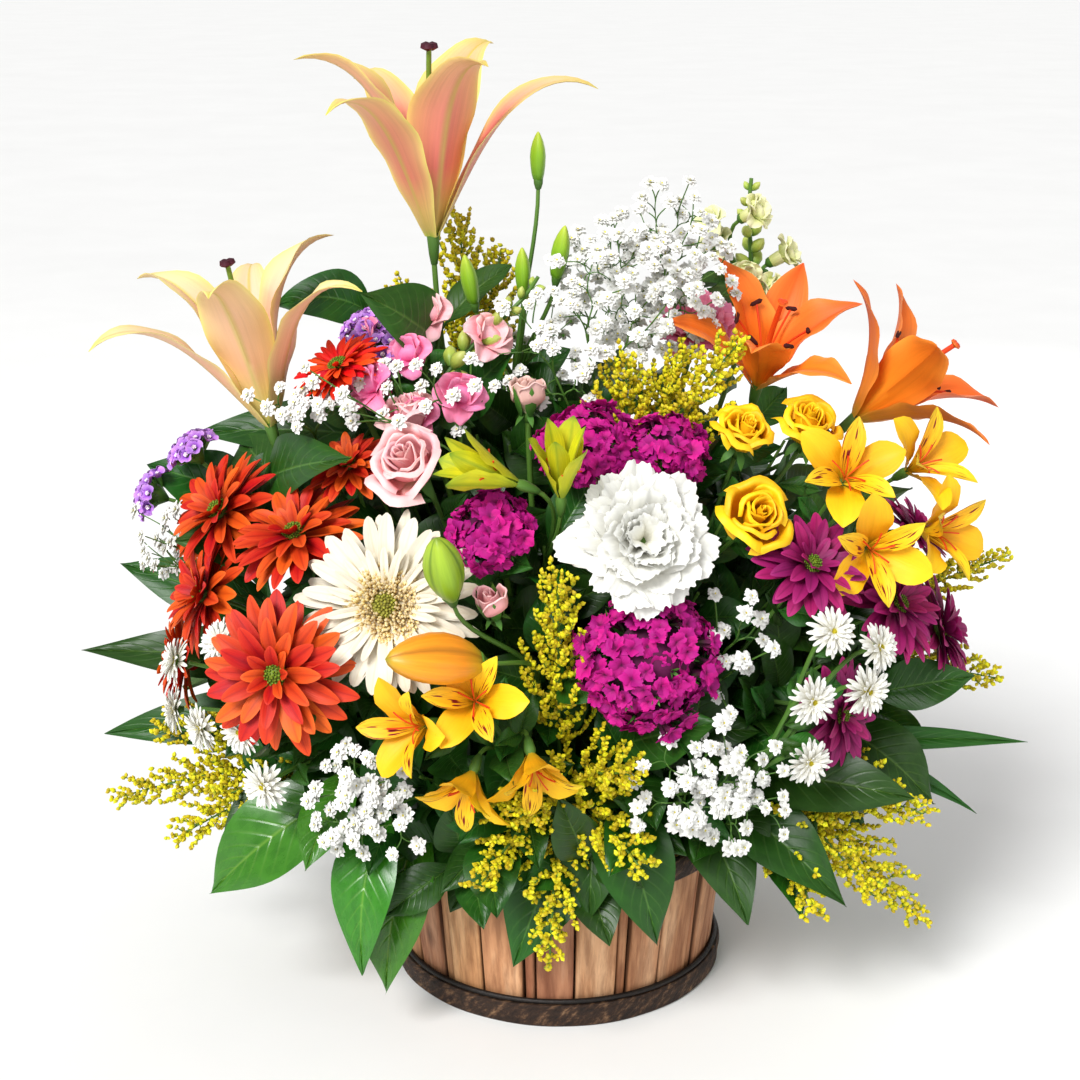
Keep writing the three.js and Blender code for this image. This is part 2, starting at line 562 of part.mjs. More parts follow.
// The top of a stem that isn't a flower: it grows on from the ring of its twig.
function plume(skin, ring, [tip, rings], grow) {
  const from = skin.middle(ring);
  const control = from.clone().lerp(tip, 0.5).add(vec(0, 0, from.distanceTo(tip) * 0.1));
  const curve = new THREE.QuadraticBezierCurve3(from, control, tip);
  const BARE = 0.22; // share of the branch below its first florets
  const FLORET = { out: 8, ahead: 6 };
  let last = ring;
  for (let i = 0; i <= rings; i++) {
    const s = BARE + ((1 - BARE) * i) / (rings + 0.6);
    const along = curve.getTangent(s);
    const lead = skin.points[last[0]].clone().sub(skin.middle(last)).applyAxisAngle(along, Math.PI / 3);
    const radius = 1.7 - (0.7 * i) / rings + 2 * grow;
    const next = skin.ring(ringRound(curve.getPoint(s), along, radius, lead));
    if (i === 0) skin.bridge(last, next);
    else
      last.forEach((p, k) => {
        const after = (k + 1) % 3;
        const quad = [p, last[after], next[after], next[k]];
        const out = skin.middle(quad).sub(curve.getPoint(s - 0.5 / rings)).normalize();
        skin.fan(quad, skin.middle(quad).addScaledVector(out, FLORET.out + grow)
          .addScaledVector(along, FLORET.ahead + grow));
      });
    last = next;
  }
  skin.fan(last, curve.getPoint(1));
}

// A tall tip with small buds on all sides.
function spire(skin, ring, head, grow) {
  const [, length, x, y, z, azimuth, elevation] = head;
  const tip = vec(x, y, z).addScaledVector(direction(azimuth, elevation), length * 0.5);
  plume(skin, ring, [tip, 6], grow);
}

// A floret of gypsophila, a small star on a fine neck, larger than life.
const SPECK = { radius: 7, neck: 0.8, neckLength: 3.5, dome: 2.6 };

function speck(skin, ring, at, grow) {
  const from = skin.middle(ring);
  const along = at.clone().sub(from).normalize();
  const lead = skin.points[ring[0]].clone().sub(from);
  const star = ringRound(at, along, 1, lead, 6).map((p, k) =>
    p.sub(at).multiplyScalar((k % 2 ? 0.66 : 1) * SPECK.radius + 2 * grow).add(at));
  const rim = skin.ring(star);
  const below = at.clone().addScaledVector(along, -SPECK.neckLength);
  const neck = skin.ring(ringRound(below, along, SPECK.neck + 2 * grow, lead));
  skin.bridge(ring, neck);
  skin.bridge(neck, rim);
  skin.fan(rim, at.clone().addScaledVector(along, SPECK.dome + grow));
}

// A flower on the end of a twig, whose last ring is given.
function flower(skin, ring, head, phase, grow) {
  const [kind, size, x, y, z, azimuth, elevation] = head;
  const { neck, tiers, crown = [], tip } = KINDS[kind](size, phase);
  const [heart, facing] = [vec(x, y, z), direction(azimuth, elevation)];
  const bend = heart.clone().addScaledVector(facing, -neck);
  const lead = skin.points[ring[0]].clone().sub(skin.middle(ring));
  const along = bend.clone().sub(skin.middle(ring)).normalize().add(facing).normalize();
  let last = skin.ring(ringRound(bend, along, TWIG_RADIUS * 1.2 + 2 * grow, lead));
  skin.bridge(ring, last);
  skin.place = new THREE.Matrix4().compose(heart, new THREE.Quaternion().setFromUnitVectors(Z, facing),
    vec(1, 1, 1));
  for (const [count, radius, low, high, side, twist = 0] of tiers) {
    const step = (2 * Math.PI) / count;
    const first = radians(twist) - step / 2;
    const level = (height) => skin.ring(ringRound(vec(0, 0, height), Z, radius + grow,
      vec(Math.cos(first), Math.sin(first), 0), count));
    const [lower, upper] = [level(low), level(high)];
    skin.bridge(last, lower);
    lower.forEach((p, k) => {
      const after = (k + 1) % count;
      const quad = [p, lower[after], upper[after], upper[k]];
      const spot = { turn: first + (k + 0.5) * step, radius: radius * Math.cos(step / 2),
        height: (low + high) / 2 };
      if (side) side(skin, quad, spot, grow);
      else skin.lid(quad);
    });
    last = upper;
  }
  for (const [radius, height] of crown) {
    const toFirst = skin.points[last[0]].clone().sub(skin.middle(last))
      .transformDirection(skin.place.clone().invert());
    const next = skin.ring(ringRound(vec(0, 0, height), Z, radius + grow, toFirst, last.length));
    skin.bridge(last, next);
    last = next;
  }
  skin.fan(last, vec(0, 0, tip + grow));
  skin.place = new THREE.Matrix4();
}

// ---------------------------------------------------------------- stems
// A stem divides in three until each twig carries one head. The end of a twig is a low pyramid,
// and each of its three faces can carry the next one. heads: { target, build }.
function divide(skin, ring, heads, along, grow) {
  if (heads.length === 1) {
    heads[0].build(skin, ring);
    return;
  }
  const from = skin.middle(ring);
  const [tip] = skin.ring([from.clone().addScaledVector(along, TWIG_RADIUS + grow)]);
  const first = skin.points[ring[0]].clone().sub(from);
  const groups = [[], [], []];
  for (const head of heads)
    groups[Math.floor(angleRound(from, along, first, head.target) / 120)].push(head);
  groups.forEach((group, k) => {
    const face = [ring[k], ring[(k + 1) % 3], tip];
    if (!group.length) skin.lid(face);
    else if (group.length === 1) group[0].build(skin, face);
    else {
      const target = meanOf(group.map((head) => head.target));
      const next = from.clone().lerp(target, 0.45);
      const ahead = next.clone().sub(from).normalize();
      const twig = skin.ring(endRing(next, ahead, group, grow));
      skin.bridge(face, twig);
      divide(skin, twig, group, ahead, grow);
    }
  });
}

const meanOf = (points) => points.reduce((sum, p) => sum.add(p), new THREE.Vector3())
  .divideScalar(points.length);

// The angle of a point round a line, in degrees from 0 to 360.
function angleRound(from, along, first, point) {
  const out = point.clone().sub(from);
  const x = out.dot(first);
  const y = out.dot(new THREE.Vector3().crossVectors(along, first));
  return (THREE.MathUtils.radToDeg(Math.atan2(y, x)) + 360) % 360;
}

// The last ring of a twig, turned so that its corners look between the heads and not at them.
function endRing(at, along, heads, grow) {
  const TRIES = 24;
  const across = vec(1, 0.3, 0.1);
  across.addScaledVector(along, -across.dot(along)).normalize();
  let best;
  for (let i = 0; i < TRIES; i++) {
    const lead = across.clone().applyAxisAngle(along, (i * 2 * Math.PI) / 3 / TRIES);
    const angles = heads.map((head) => angleRound(at, along, lead, head.target));
    const room = Math.min(...angles.map((angle) => Math.min(angle % 120, 120 - (angle % 120))));
    const groups = new Set(angles.map((angle) => Math.floor(angle / 120))).size;
    const score = room + 20 * groups;
    if (groups > 1 && (!best || score > best.score)) best = { score, lead };
  }
  return ringRound(at, along, TWIG_RADIUS + 2 * grow, best.lead);
}

// Every stem's foot is in the foam, and points at one place on the axis.
function footFor(target) {
  const out = target.clone().sub(vec(0, 0, FOCUS.height));
  const flat = Math.hypot(out.x, out.y);
  const slope = Math.max(Math.atan2(out.z, flat), radians(FOCUS.slope));
  return vec((out.x / flat) * Math.cos(slope), (out.y / flat) * Math.cos(slope), Math.sin(slope))
    .multiplyScalar(FOCUS.reach).add(vec(0, 0, FOCUS.height));
}

function stemFrom(skin, foot, target, grow) {
  const along = target.clone().sub(foot).normalize();
  const end = foot.clone().addScaledVector(along, -2 * grow);
  const ring = skin.ring(ringRound(end, along, STEM_RADIUS + 2 * grow, vec(-along.y, along.x, 0)));
  skin.lid([...ring].reverse());
  return ring;
}

function plant(joint, heads, grow) {
  const skin = new Skin();
  const target = joint ? vec(...joint) : heads[0].target;
  const foot = footFor(target);
  let ring = stemFrom(skin, foot, target, grow);
  const ahead = meanOf(heads.map((head) => head.target)).sub(target).normalize();
  if (joint) {
    const end = skin.ring(endRing(target, ahead, heads, grow));
    skin.bridge(ring, end);
    ring = end;
  }
  divide(skin, ring, heads, ahead, grow);
  return skin.geometry();
}

function flowers(plan, grow) {
  return plant(plan.joint, plan.heads.map((head) => {
    const [kind, size, x, y, z, azimuth, elevation] = head;
    const isSpire = kind === "spire";
    const back = isSpire ? 0 : KINDS[kind](size, 0).neck;
    return {
      target: vec(x, y, z).addScaledVector(direction(azimuth, elevation), -back),
      build: (skin, ring) => (isSpire ? spire(skin, ring, head, grow)
        : flower(skin, ring, head, plan.phase ?? 0, grow)),
    };
  }), grow);
}

function goldenrod(plan, grow) {
  return plant(plan.joint, plan.branches.map(([x, y, z, rings]) => ({
    target: vec(x, y, z),
    build: (skin, ring) => plume(skin, ring, [vec(x, y, z), rings], grow),
  })), grow);
}

function cloud(plan, grow) {
  const random = seeded(plan.seed);
  return plant(plan.joint, Array.from({ length: plan.count }, (_, i) => {
    const high = 1 - (2 * (i + 0.5)) / plan.count;
    const flat = Math.sqrt(1 - high * high);
    const far = 0.7 + 0.3 * random();
    const at = vec(flat * Math.cos(i * GOLDEN_ANGLE), flat * Math.sin(i * GOLDEN_ANGLE), high)
      .multiplyScalar(far).multiply(vec(...plan.reach)).add(vec(...plan.centre));
    return { target: at, build: (skin, ring) => speck(skin, ring, at, grow) };
  }), grow);
}

// A straight stem with leaves that grow from its side faces.
function sprig(plan, grow) {
  const skin = new Skin();
  const end = vec(...plan.end);
  const foot = footFor(end);
  const along = end.clone().sub(foot).normalize();
  let last = stemFrom(skin, foot, end, grow);
  const NODE = 3; // length of stem that a leaf takes up
  for (const [share, x, y, z, arch, width] of plan.leaves) {
    const [root, tip] = [foot.clone().lerp(end, share), vec(x, y, z)];
    const run = tip.clone().sub(root);
    const out = run.clone().addScaledVector(along, -run.dot(along)).normalize();
    const radius = STEM_RADIUS * (1.05 - 0.35 * share) + 2 * grow;
    const lead = out.clone().applyAxisAngle(along, -Math.PI / 3);
    const [low, high] = [-NODE / 2 - grow, NODE / 2 + grow].map((shift) =>
      skin.ring(ringRound(root.clone().addScaledVector(along, shift), along, radius, lead)));
    skin.bridge(last, low);
    for (const k of [1, 2]) skin.lid([low[k], low[(k + 1) % 3], high[(k + 1) % 3], high[k]]);
    leaf(skin, [low[0], low[1], high[1], high[0]], { root, tip, arch, width }, grow);
    last = high;
  }
  skin.fan(last, end);
  return skin.geometry();
}

function leaf(skin, quad, { root, tip, arch, width }, grow) {
  const run = tip.clone().sub(root);
  const near = tip.y < LEAF_TURN.middle ? -1 : 1;
  const over = vec(tip.x, tip.y, 0).normalize().multiplyScalar(0.7).add(Z);
  over.y += near * LEAF_TURN.lean;
  const up = over.addScaledVector(run, -over.dot(run) / run.lengthSq()).normalize();
  const curve = new THREE.QuadraticBezierCurve3(root, root.clone().lerp(tip, 0.5)
    .addScaledVector(up, 2 * arch), tip);
  blade(skin, quad, {
    width, thick: LEAF, cup: 0.14, outline: width < 20 ? NARROW : OVATE,
    across: new THREE.Vector3().crossVectors(up, run).normalize(),
    line: (s) => ({ point: curve.getPoint(s), along: curve.getTangent(s) }),
  }, grow);
}

// ---------------------------------------------------------------- solids
function solid(geometry) {
  const plain = geometry.clone();
  for (const name of ["normal", "uv"]) if (plain.getAttribute(name)) plain.deleteAttribute(name);
  const merged = mergeVertices(plain, 1e-4);
  return new kernel.Manifold(new kernel.Mesh({
    numProp: 3,
    vertProperties: merged.getAttribute("position").array,
    triVerts: new Uint32Array(merged.index.array),
  }));
}

function facingOut(geometry) {
  const [position, index] = [geometry.getAttribute("position"), geometry.index.array];
  const corner = (i) => new THREE.Vector3().fromBufferAttribute(position, index[i]);
  let volume = 0;
  for (let i = 0; i < index.length; i += 3)
    volume += corner(i).dot(corner(i + 1).cross(corner(i + 2)));
  if (volume < 0)
    for (let i = 0; i < index.length; i += 3)
      [index[i], index[i + 1]] = [index[i + 1], index[i]];
  return geometry;
}

// ---------------------------------------------------------------- the basket
const WALL_SIDES = 2 * BATTENS;
const HOOP_SIDES = 24;

const staveRadius = (height) =>
  BASKET.baseRadius + ((BASKET.rimRadius - BASKET.baseRadius) * height) / BASKET.height;

function staveWall() {
  const stretch = (2 * Math.PI) / BATTENS;
  const stave = (stretch * (1 - BATTEN_SHARE)) / 2;
  const SEAM = { share: 0.04, depth: 2.4 };
  const BATTEN_DEPTH = 3.4;
  const lip = stave * SEAM.share;
  const R = BASKET.baseRadius;
  const marks = [[lip, 0], [stave - lip, 0], [stave, SEAM.depth], [stave + lip, 0],
    [2 * stave - lip, 0], [2 * stave, BATTEN_DEPTH], [stretch, BATTEN_DEPTH]];
  const polar = (turn, radius) => new THREE.Vector2(Math.cos(turn) * radius, Math.sin(turn) * radius);
  const outer = Array.from({ length: BATTENS }, (_, i) =>
    marks.map(([turn, depth]) => polar(i * stretch + turn, R - depth))).flat();
  const shape = new THREE.Shape(outer);
  shape.holes.push(new THREE.Path(Array.from({ length: WALL_SIDES }, (_, k) =>
    polar((2 * Math.PI * k) / WALL_SIDES, R - BASKET.wall))));
  const geometry = new THREE.ExtrudeGeometry(shape, { depth: BASKET.height, bevelEnabled: false });
  const position = geometry.getAttribute("position");
  for (let i = 0; i < position.count; i++) {
    const widen = staveRadius(position.getZ(i)) / R;
    position.setXY(i, position.getX(i) * widen, position.getY(i) * widen);
  }
  return solid(geometry);
}

// A body turned round the basket's axis from [radius, height] points.
const turned = (profile, sides) => solid(facingOut(new THREE.LatheGeometry(
  profile.map(([r, z]) => new THREE.Vector2(r, z)), sides).rotateX(Math.PI / 2)));

function baseHoop() {
  const { height, depth } = BASE_HOOP;
  const inside = (z) => (staveRadius(z) + GAP) / Math.cos(Math.PI / HOOP_SIDES);
  const profile = [[inside(0), 0], [inside(0) + depth, 0], [inside(height) + depth, height * 0.6],
    [inside(height) + depth * 0.4, height], [inside(height), height]];
  return turned([...profile, profile[0]], HOOP_SIDES);
}

function rimHoop() {
  const { low, high, depth } = RIM_HOOP;
  const inside = (z) => (staveRadius(z) + GAP) / Math.cos(Math.PI / HOOP_SIDES);
  const profile = [[inside(low), low], [inside(low) + depth, low], [inside(high) + depth, high],
    [inside(high), high]];
  return turned([...profile, profile[0]], HOOP_SIDES);
}

function liner() {
  const { wall, top } = LINER;
  const floor = BOARD_THICKNESS + GAP;
  const outside = (z) => staveRadius(z) - BASKET.wall - LINER.clearance;
  return turned([[0, floor], [outside(floor), floor], [outside(top), top],
    [outside(top) - wall, top], [outside(floor + wall) - wall, floor + wall], [0, floor + wall]], 16);
}

function baseBoard() {
  const radius = BASKET.baseRadius - BASKET.wall - 3 * GAP;
  return solid(new THREE.CylinderGeometry(radius, radius, BOARD_THICKNESS, 16)
    .rotateX(Math.PI / 2).translate(0, 0, BOARD_THICKNESS / 2));
}

function foamBlock() {
  const floor = BOARD_THICKNESS + LINER.wall + 2 * GAP;
  const { radius, top } = FOAM;
  return turned([[0, floor], [radius, floor], [radius, top], [0, top]], 12);
}

// ---------------------------------------------------------------- assembly
// Pieces are made in order of rank. Each is trimmed clear of those made before it, which are
// grown by the gap for that cut, and a scrap that a cut leaves loose is dropped.
const arrangement = new THREE.Group();
const made = [];

const near = (a, b) => a.max.every((far, k) => far > b.min[k] && b.max[k] > a.min[k]);

function largest(piece) {
  return piece.decompose().reduce((a, b) => (b.volume() > a.volume() ? b : a));
}

function add(name, colour, roughness, make) {
  const plain = make(0);
  const box = plain.boundingBox();
  const others = made.filter((other) => near(box, other.box));
  let piece = plain;
  for (const other of others) piece = piece.subtract(other.grown);
  piece = largest(piece);
  const grown = make(GAP).add(plain);
  made.push({ grown, box: grown.boundingBox() });
  const { vertProperties, triVerts } = piece.getMesh();
  const geometry = new THREE.BufferGeometry();
  geometry.setAttribute("position", new THREE.BufferAttribute(vertProperties, 3));
  geometry.setIndex(new THREE.BufferAttribute(triVerts, 1));
  const material = new THREE.MeshStandardMaterial({ color: COLOURS[colour], roughness, metalness: 0 });
  const mesh = new THREE.Mesh(geometry, material);
  mesh.name = name;
  arrangement.add(mesh);
}

add("stave_wall", "wood", 0.7, staveWall);
add("base_board", "wood", 0.8, baseBoard);
add("base_hoop", "bark", 0.7, baseHoop);
add("rim_hoop", "bark", 0.7, rimHoop);
add("liner", "liner", 0.4, liner);
for (const plan of PLANTS) add(plan.name, plan.colour, 0.5, (grow) => solid(flowers(plan, grow)));
for (const plan of PLUMES) add(plan.name, "goldenrod", 0.7, (grow) => solid(goldenrod(plan, grow)));
for (const plan of CLOUDS) add(plan.name, "white", 0.6, (grow) => solid(cloud(plan, grow)));
for (const plan of SPRIGS) add(plan.name, "leaf", 0.45, (grow) => solid(sprig(plan, grow)));
add("foam", "foam", 0.95, foamBlock);

export default arrangement;
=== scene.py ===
"""A flower basket arrangement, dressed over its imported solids.

Millimetres in the plan and in every shape, metres once a mesh is made. +Z is up and the viewer
stands at -Y, so an azimuth of 0 degrees faces the viewer and 90 faces the viewer's right.
"""
import math
from random import Random

import bpy
import numpy as np
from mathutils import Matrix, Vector


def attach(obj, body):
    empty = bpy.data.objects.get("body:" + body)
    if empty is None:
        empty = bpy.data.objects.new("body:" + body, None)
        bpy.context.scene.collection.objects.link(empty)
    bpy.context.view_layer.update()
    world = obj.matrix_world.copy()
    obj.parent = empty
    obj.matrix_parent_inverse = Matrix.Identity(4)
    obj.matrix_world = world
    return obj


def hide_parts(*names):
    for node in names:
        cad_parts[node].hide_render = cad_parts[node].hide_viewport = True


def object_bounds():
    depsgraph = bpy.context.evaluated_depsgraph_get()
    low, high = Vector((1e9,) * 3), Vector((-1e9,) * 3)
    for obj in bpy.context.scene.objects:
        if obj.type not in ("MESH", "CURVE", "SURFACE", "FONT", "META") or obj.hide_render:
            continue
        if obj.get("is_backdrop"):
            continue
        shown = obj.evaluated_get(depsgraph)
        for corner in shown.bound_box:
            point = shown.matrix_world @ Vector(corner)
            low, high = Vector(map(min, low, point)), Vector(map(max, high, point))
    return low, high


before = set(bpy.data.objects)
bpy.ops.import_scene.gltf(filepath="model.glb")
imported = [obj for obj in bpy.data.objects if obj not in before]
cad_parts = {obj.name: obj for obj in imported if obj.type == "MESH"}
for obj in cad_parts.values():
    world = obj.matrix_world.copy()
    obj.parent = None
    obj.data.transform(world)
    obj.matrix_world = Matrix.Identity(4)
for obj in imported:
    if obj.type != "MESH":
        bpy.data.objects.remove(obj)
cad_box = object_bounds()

MM = 0.001  # in metres
GOLDEN_ANGLE = math.pi * (3 - math.sqrt(5))

# ---------------------------------------------------------------- driving dimensions
BASKET = dict(base_radius=93, rim_radius=104, height=100, wall=9)
STRETCHES = 11  # round the wall: two broad staves, then one narrow batten
BATTEN_SHARE = 0.13  # of each stretch
BASE_HOOP = dict(height=14, depth=5.6)
RIM_HOOP = dict(low=84, high=99, depth=3)
FOCUS = dict(height=60, reach=42, slope=30)  # the stems point at this height on the axis
STEMS = dict(branching=(2.3, 1.6), single=1.7, cloud=1.6, plume=1.8, sprig=(2.2, 1),
             filler=(1.8, 0.9))  # radius, or the radii at the foot and at the top
TWIG_RADIUS = 1.2
PETIOLE = 0.1  # the bare share of a leaf's length
# Leaves given a lighter, yellower green and more shine than the rest.
BRIGHT_LEAVES = {"leaves_low_left"}  # shinier and yellower
GRASS_WIDTH = 20  # a blade narrower than this is a grass-like one
BACK_FROM = 60  # from this y on, leaves and florets face the back, not the viewer
LEAF_LEAN = 1.3  # how far a leaf's face turns that way, beside 1 upward
SHARP_ANGLE = 55  # degrees between two faces from which their edge is shaded as a sharp one

# Steps along or round the forms, and how many buds and florets repeat.
PATH_STEPS = 12
LEAF_STEPS = 20
SLOPE_STEPS = 48
PLUME_STEPS = 59
SPIRE_BUDS = 15
EYE_FLORETS = 96
HOOP_SIDES = 120

# ---------------------------------------------------------------- the florist's plan
# Each plant is one cut stem with all that it carries. A head is
# (kind, size, x, y, z, azimuth, elevation): the heart of the flower, or the middle of a spire, and
# where it faces. The size is a diameter, or the length of a bud, of a spire or of one petal of a
# lily or an alstroemeria. The joint is where the stem divides.
PLANTS = {
    "lily_top": dict(colour="peach", phase=-60, heads=[
        ("lily", 138, -72, 22, 438, -30, 87)]),
    "lily_left": dict(colour="peach", phase=30, heads=[
        ("lily", 126, -164, -14, 336, -74, 77)]),
    "lilies_orange": dict(colour="orange", joint=(90, 22, 268), phase=10, heads=[
        ("lily_small", 80, 114, 8, 354, 14, 62), ("lily_small", 88, 172, 12, 334, 84, 42)]),
    "lily_buds": dict(colour="bud", joint=(-12, -98, 214), heads=[
        ("lily_bud", 56, -40, -152, 244, -62, 12), ("lily_bud_unripe", 42, -56, -146, 276, -24, 66)]),
    "gerbera_white": dict(colour="cream", heads=[
        ("gerbera", 98, -92, -118, 264, -12, 18)]),
    "gerbera_red": dict(colour="scarlet", heads=[
        ("gerbera_small", 58, -122, -34, 374, -60, 62)]),
    "carnation_white": dict(colour="white", heads=[
        ("carnation", 82, 42, -120, 300, 6, 26)]),
    "carnation_pink": dict(colour="hot_pink", heads=[
        ("carnation_small", 58, 82, 48, 380, 10, 50)]),
    "carnation_back": dict(colour="hot_pink", heads=[
        ("carnation_small", 66, 4, 140, 292, 180, 36)]),
    "sweet_william_top": dict(colour="magenta", heads=[
        ("umbel_small", 54, 14, -68, 340, 0, 54)]),
    "sweet_william_right": dict(colour="magenta", heads=[
        ("umbel_small", 42, 60, -66, 338, 24, 52)]),
    "sweet_william_left": dict(colour="magenta", heads=[
        ("umbel_small", 44, -38, -107, 303, -14, 44)]),
    "sweet_william_front": dict(colour="magenta", heads=[
        ("umbel", 80, 48, -128, 234, 14, 10)]),
    "mums_red_high": dict(colour="rust", joint=(-86, -40, 208), heads=[
        ("mum", 72, -192, -26, 288, -52, 40), ("mum", 72, -144, -73, 288, -34, 60),
        ("mum", 50, -116, -52, 322, -30, 62)]),
    "mums_red_low": dict(colour="rust", joint=(-96, -36, 158), heads=[
        ("mum", 64, -200, -48, 246, -64, 24), ("mum", 60, -218, -24, 200, -86, 6)]),
    "mum_red_front": dict(colour="rust", heads=[
        ("mum", 80, -150, -126, 228, -14, 16)]),
    "mums_plum_inner": dict(colour="plum", joint=(72, -58, 176), heads=[
        ("mum", 64, 134, -96, 278, 26, 46), ("mum", 58, 154, -88, 190, 40, 6)]),
    "mums_plum_outer": dict(colour="plum", joint=(116, -30, 188), heads=[
        ("mum", 66, 186, -66, 246, 52, 34), ("mum", 64, 222, -18, 214, 74, 20),
        ("mum", 50, 208, 4, 268, 84, 46)]),
    "mum_red_back": dict(colour="rust", heads=[
        ("mum", 78, -100, 122, 258, -142, 26)]),
    "mum_plum_back": dict(colour="plum", heads=[
        ("mum", 74, 106, 114, 254, 138, 26)]),
    "roses_pink": dict(colour="pink", joint=(-44, -56, 232), heads=[
        ("rose", 38, -80, -86, 332, -26, 42), ("rose", 30, -82, -54, 350, -30, 70),
        ("rosebud", 24, -36, -132, 268, -24, 60)]),
    "rose_pale": dict(colour="rose_pale", heads=[
        ("rosebud", 27, -18, -44, 358, -10, 82)]),
    "roses_yellow": dict(colour="yellow", joint=(68, -44, 240), heads=[
        ("rose", 33, 138, -38, 340, 20, 58), ("rose", 31, 100, -56, 340, 20, 56),
        ("rose", 36, 104, -92, 304, 14, 36)]),
    "alstroemeria_lime": dict(colour="lime", joint=(-10, -62, 250), heads=[
        ("bell", 44, -22, -110, 328, -76, 24), ("bell", 44, 0, -116, 322, 2, 68)]),
    "alstroemeria_yellow_right": dict(colour="yellow", joint=(112, -30, 236), heads=[
        ("alstroemeria", 37, 154, -64, 316, 4, 34), ("alstroemeria", 37, 166, -80, 284, 10, 8),
        ("alstroemeria", 36, 192, -48, 318, 44, 34),
        ("alstroemeria", 36, 200, -56, 286, 46, 10)]),
    "alstroemeria_yellow_low": dict(colour="yellow", joint=(-24, -112, 172), heads=[
        ("alstroemeria", 34, -70, -142, 206, -40, 8),
        ("alstroemeria", 33, -44, -146, 220, -6, 26),
        ("alstroemeria", 32, -46, -148, 182, -26, -44),
        ("alstroemeria", 32, -16, -152, 194, 14, -44)]),
    "mums_white_left": dict(colour="white", joint=(-112, -62, 150), heads=[
        ("button", 28, -184, -100, 236, -40, 24), ("button", 28, -212, -84, 220, -64, 18),
        ("button", 28, -216, -72, 186, -70, 4), ("button", 28, -196, -104, 188, -50, -4),
        ("button", 28, -172, -118, 192, -34, 6), ("button", 30, -160, -122, 162, -30, -2)]),
    "mums_white_right": dict(colour="white", joint=(100, -116, 164), heads=[
        ("button", 28, 142, -132, 254, 14, 24), ("button", 28, 168, -124, 242, 40, 22),
        ("button", 30, 162, -130, 220, 30, 2), ("button", 28, 132, -140, 218, 18, 4),
        ("button", 28, 132, -136, 182, 20, -2)]),
    "mums_white_back": dict(colour="white", joint=(26, 86, 162), heads=[
        ("button", 30, -10, 150, 236, -176, 16), ("button", 30, 24, 162, 222, 172, 4),
        ("button", 30, 56, 150, 240, 158, 16)]),
    "snapdragon_pink": dict(colour="hot_pink", joint=(-72, -32, 338), heads=[
        ("snap_pale", 26, -72, 8, 394, -20, 30), ("snap", 26, -100, 0, 380, -70, 20),
        ("snap", 26, -98, -38, 364, -50, 20), ("snap", 26, -56, -50, 362, 10, 24),
        ("snap_pale", 26, -44, -12, 384, 40, 34), ("snap", 24, -80, -26, 378, -30, 30),
        ("snap_pale", 22, -88, -4, 400, -50, 50), ("snap", 24, -76, -46, 352, -20, 10),
        ("spire", 52, -22, -4, 398, 50, 60)]),
    "snapdragon_white": dict(colour="pale_green", joint=(112, 84, 362), heads=[
        ("snap", 21, 122, 68, 398, 60, 20), ("snap", 21, 132, 82, 416, 84, 30),
        ("snap", 21, 98, 76, 422, -60, 40), ("snap", 20, 112, 68, 444, 60, 30),
        ("snap", 20, 108, 64, 410, 20, 10), ("snap", 18, 92, 66, 438, -40, 40),
        ("spire", 60, 112, 84, 434, 90, 84)]),
    "statice": dict(colour="lilac", joint=(-128, 24, 252), heads=[
        ("statice", 20, -210, 2, 314, -90, 50), ("statice", 20, -234, 8, 288, -90, 20),
        ("statice", 20, -108, 4, 384, -40, 56), ("statice", 20, -96, -20, 376, -20, 60)]),
    "lisianthus_buds": dict(colour="bud_green", joint=(-24, 16, 346), heads=[
        ("bud", 28, -12, 12, 470, 0, 88), ("bud", 32, -2, -6, 418, 40, 76),
        ("bud", 28, -20, -2, 408, -20, 84), ("bud", 30, -48, 2, 402, -60, 78)]),
}

# A cloud of gypsophila fills an ellipsoid, and its twigs part at the joint.
CLOUDS = {
    "gypsophila_top": dict(joint=(44, 8, 326), centre=(50, -4, 420), reach=(46, 30, 46),
        florets=200),
    "gypsophila_left": dict(joint=(-136, -14, 316), centre=(-140, -54, 358), reach=(34, 12, 12),
        florets=26),
    "gypsophila_low_left": dict(joint=(-62, -98, 146), centre=(-104, -138, 158), reach=(30, 12, 30),
        florets=64),
    "gypsophila_low_right": dict(joint=(56, -100, 146), centre=(84, -140, 166), reach=(42, 12, 36),
        florets=76),
    "gypsophila_back": dict(joint=(-30, 62, 290), centre=(-40, 96, 352), reach=(58, 34, 34),
        florets=80),
}

# Branches of goldenrod part at the joint and end at these points.
PLUMES = {
    "goldenrod_front": dict(joint=(0, -96, 150), branches=[
        (-2, -140, 286), (36, -158, 184), (-22, -160, 160), (-44, -158, 118),
        (44, -158, 128), (-6, -150, 66)]),
    "goldenrod_left": dict(joint=(-120, -26, 132), branches=[
        (-262, -34, 114), (-228, -44, 92), (-240, -14, 150), (-198, -56, 124)]),
    "goldenrod_top": dict(joint=(-54, 48, 318), branches=[
        (-58, 58, 446), (-96, 60, 404), (-34, 54, 424)]),
    "goldenrod_high": dict(joint=(38, -30, 300), branches=[
        (98, -52, 392), (36, -48, 382), (70, -34, 384)]),
    "goldenrod_right": dict(joint=(118, -56, 134), branches=[
        (214, -72, 50), (140, -124, 84), (206, -96, 132), (178, -104, 84)]),
    "goldenrod_edge": dict(joint=(134, 12, 176), branches=[
        (268, 18, 248), (268, 6, 174)]),
}

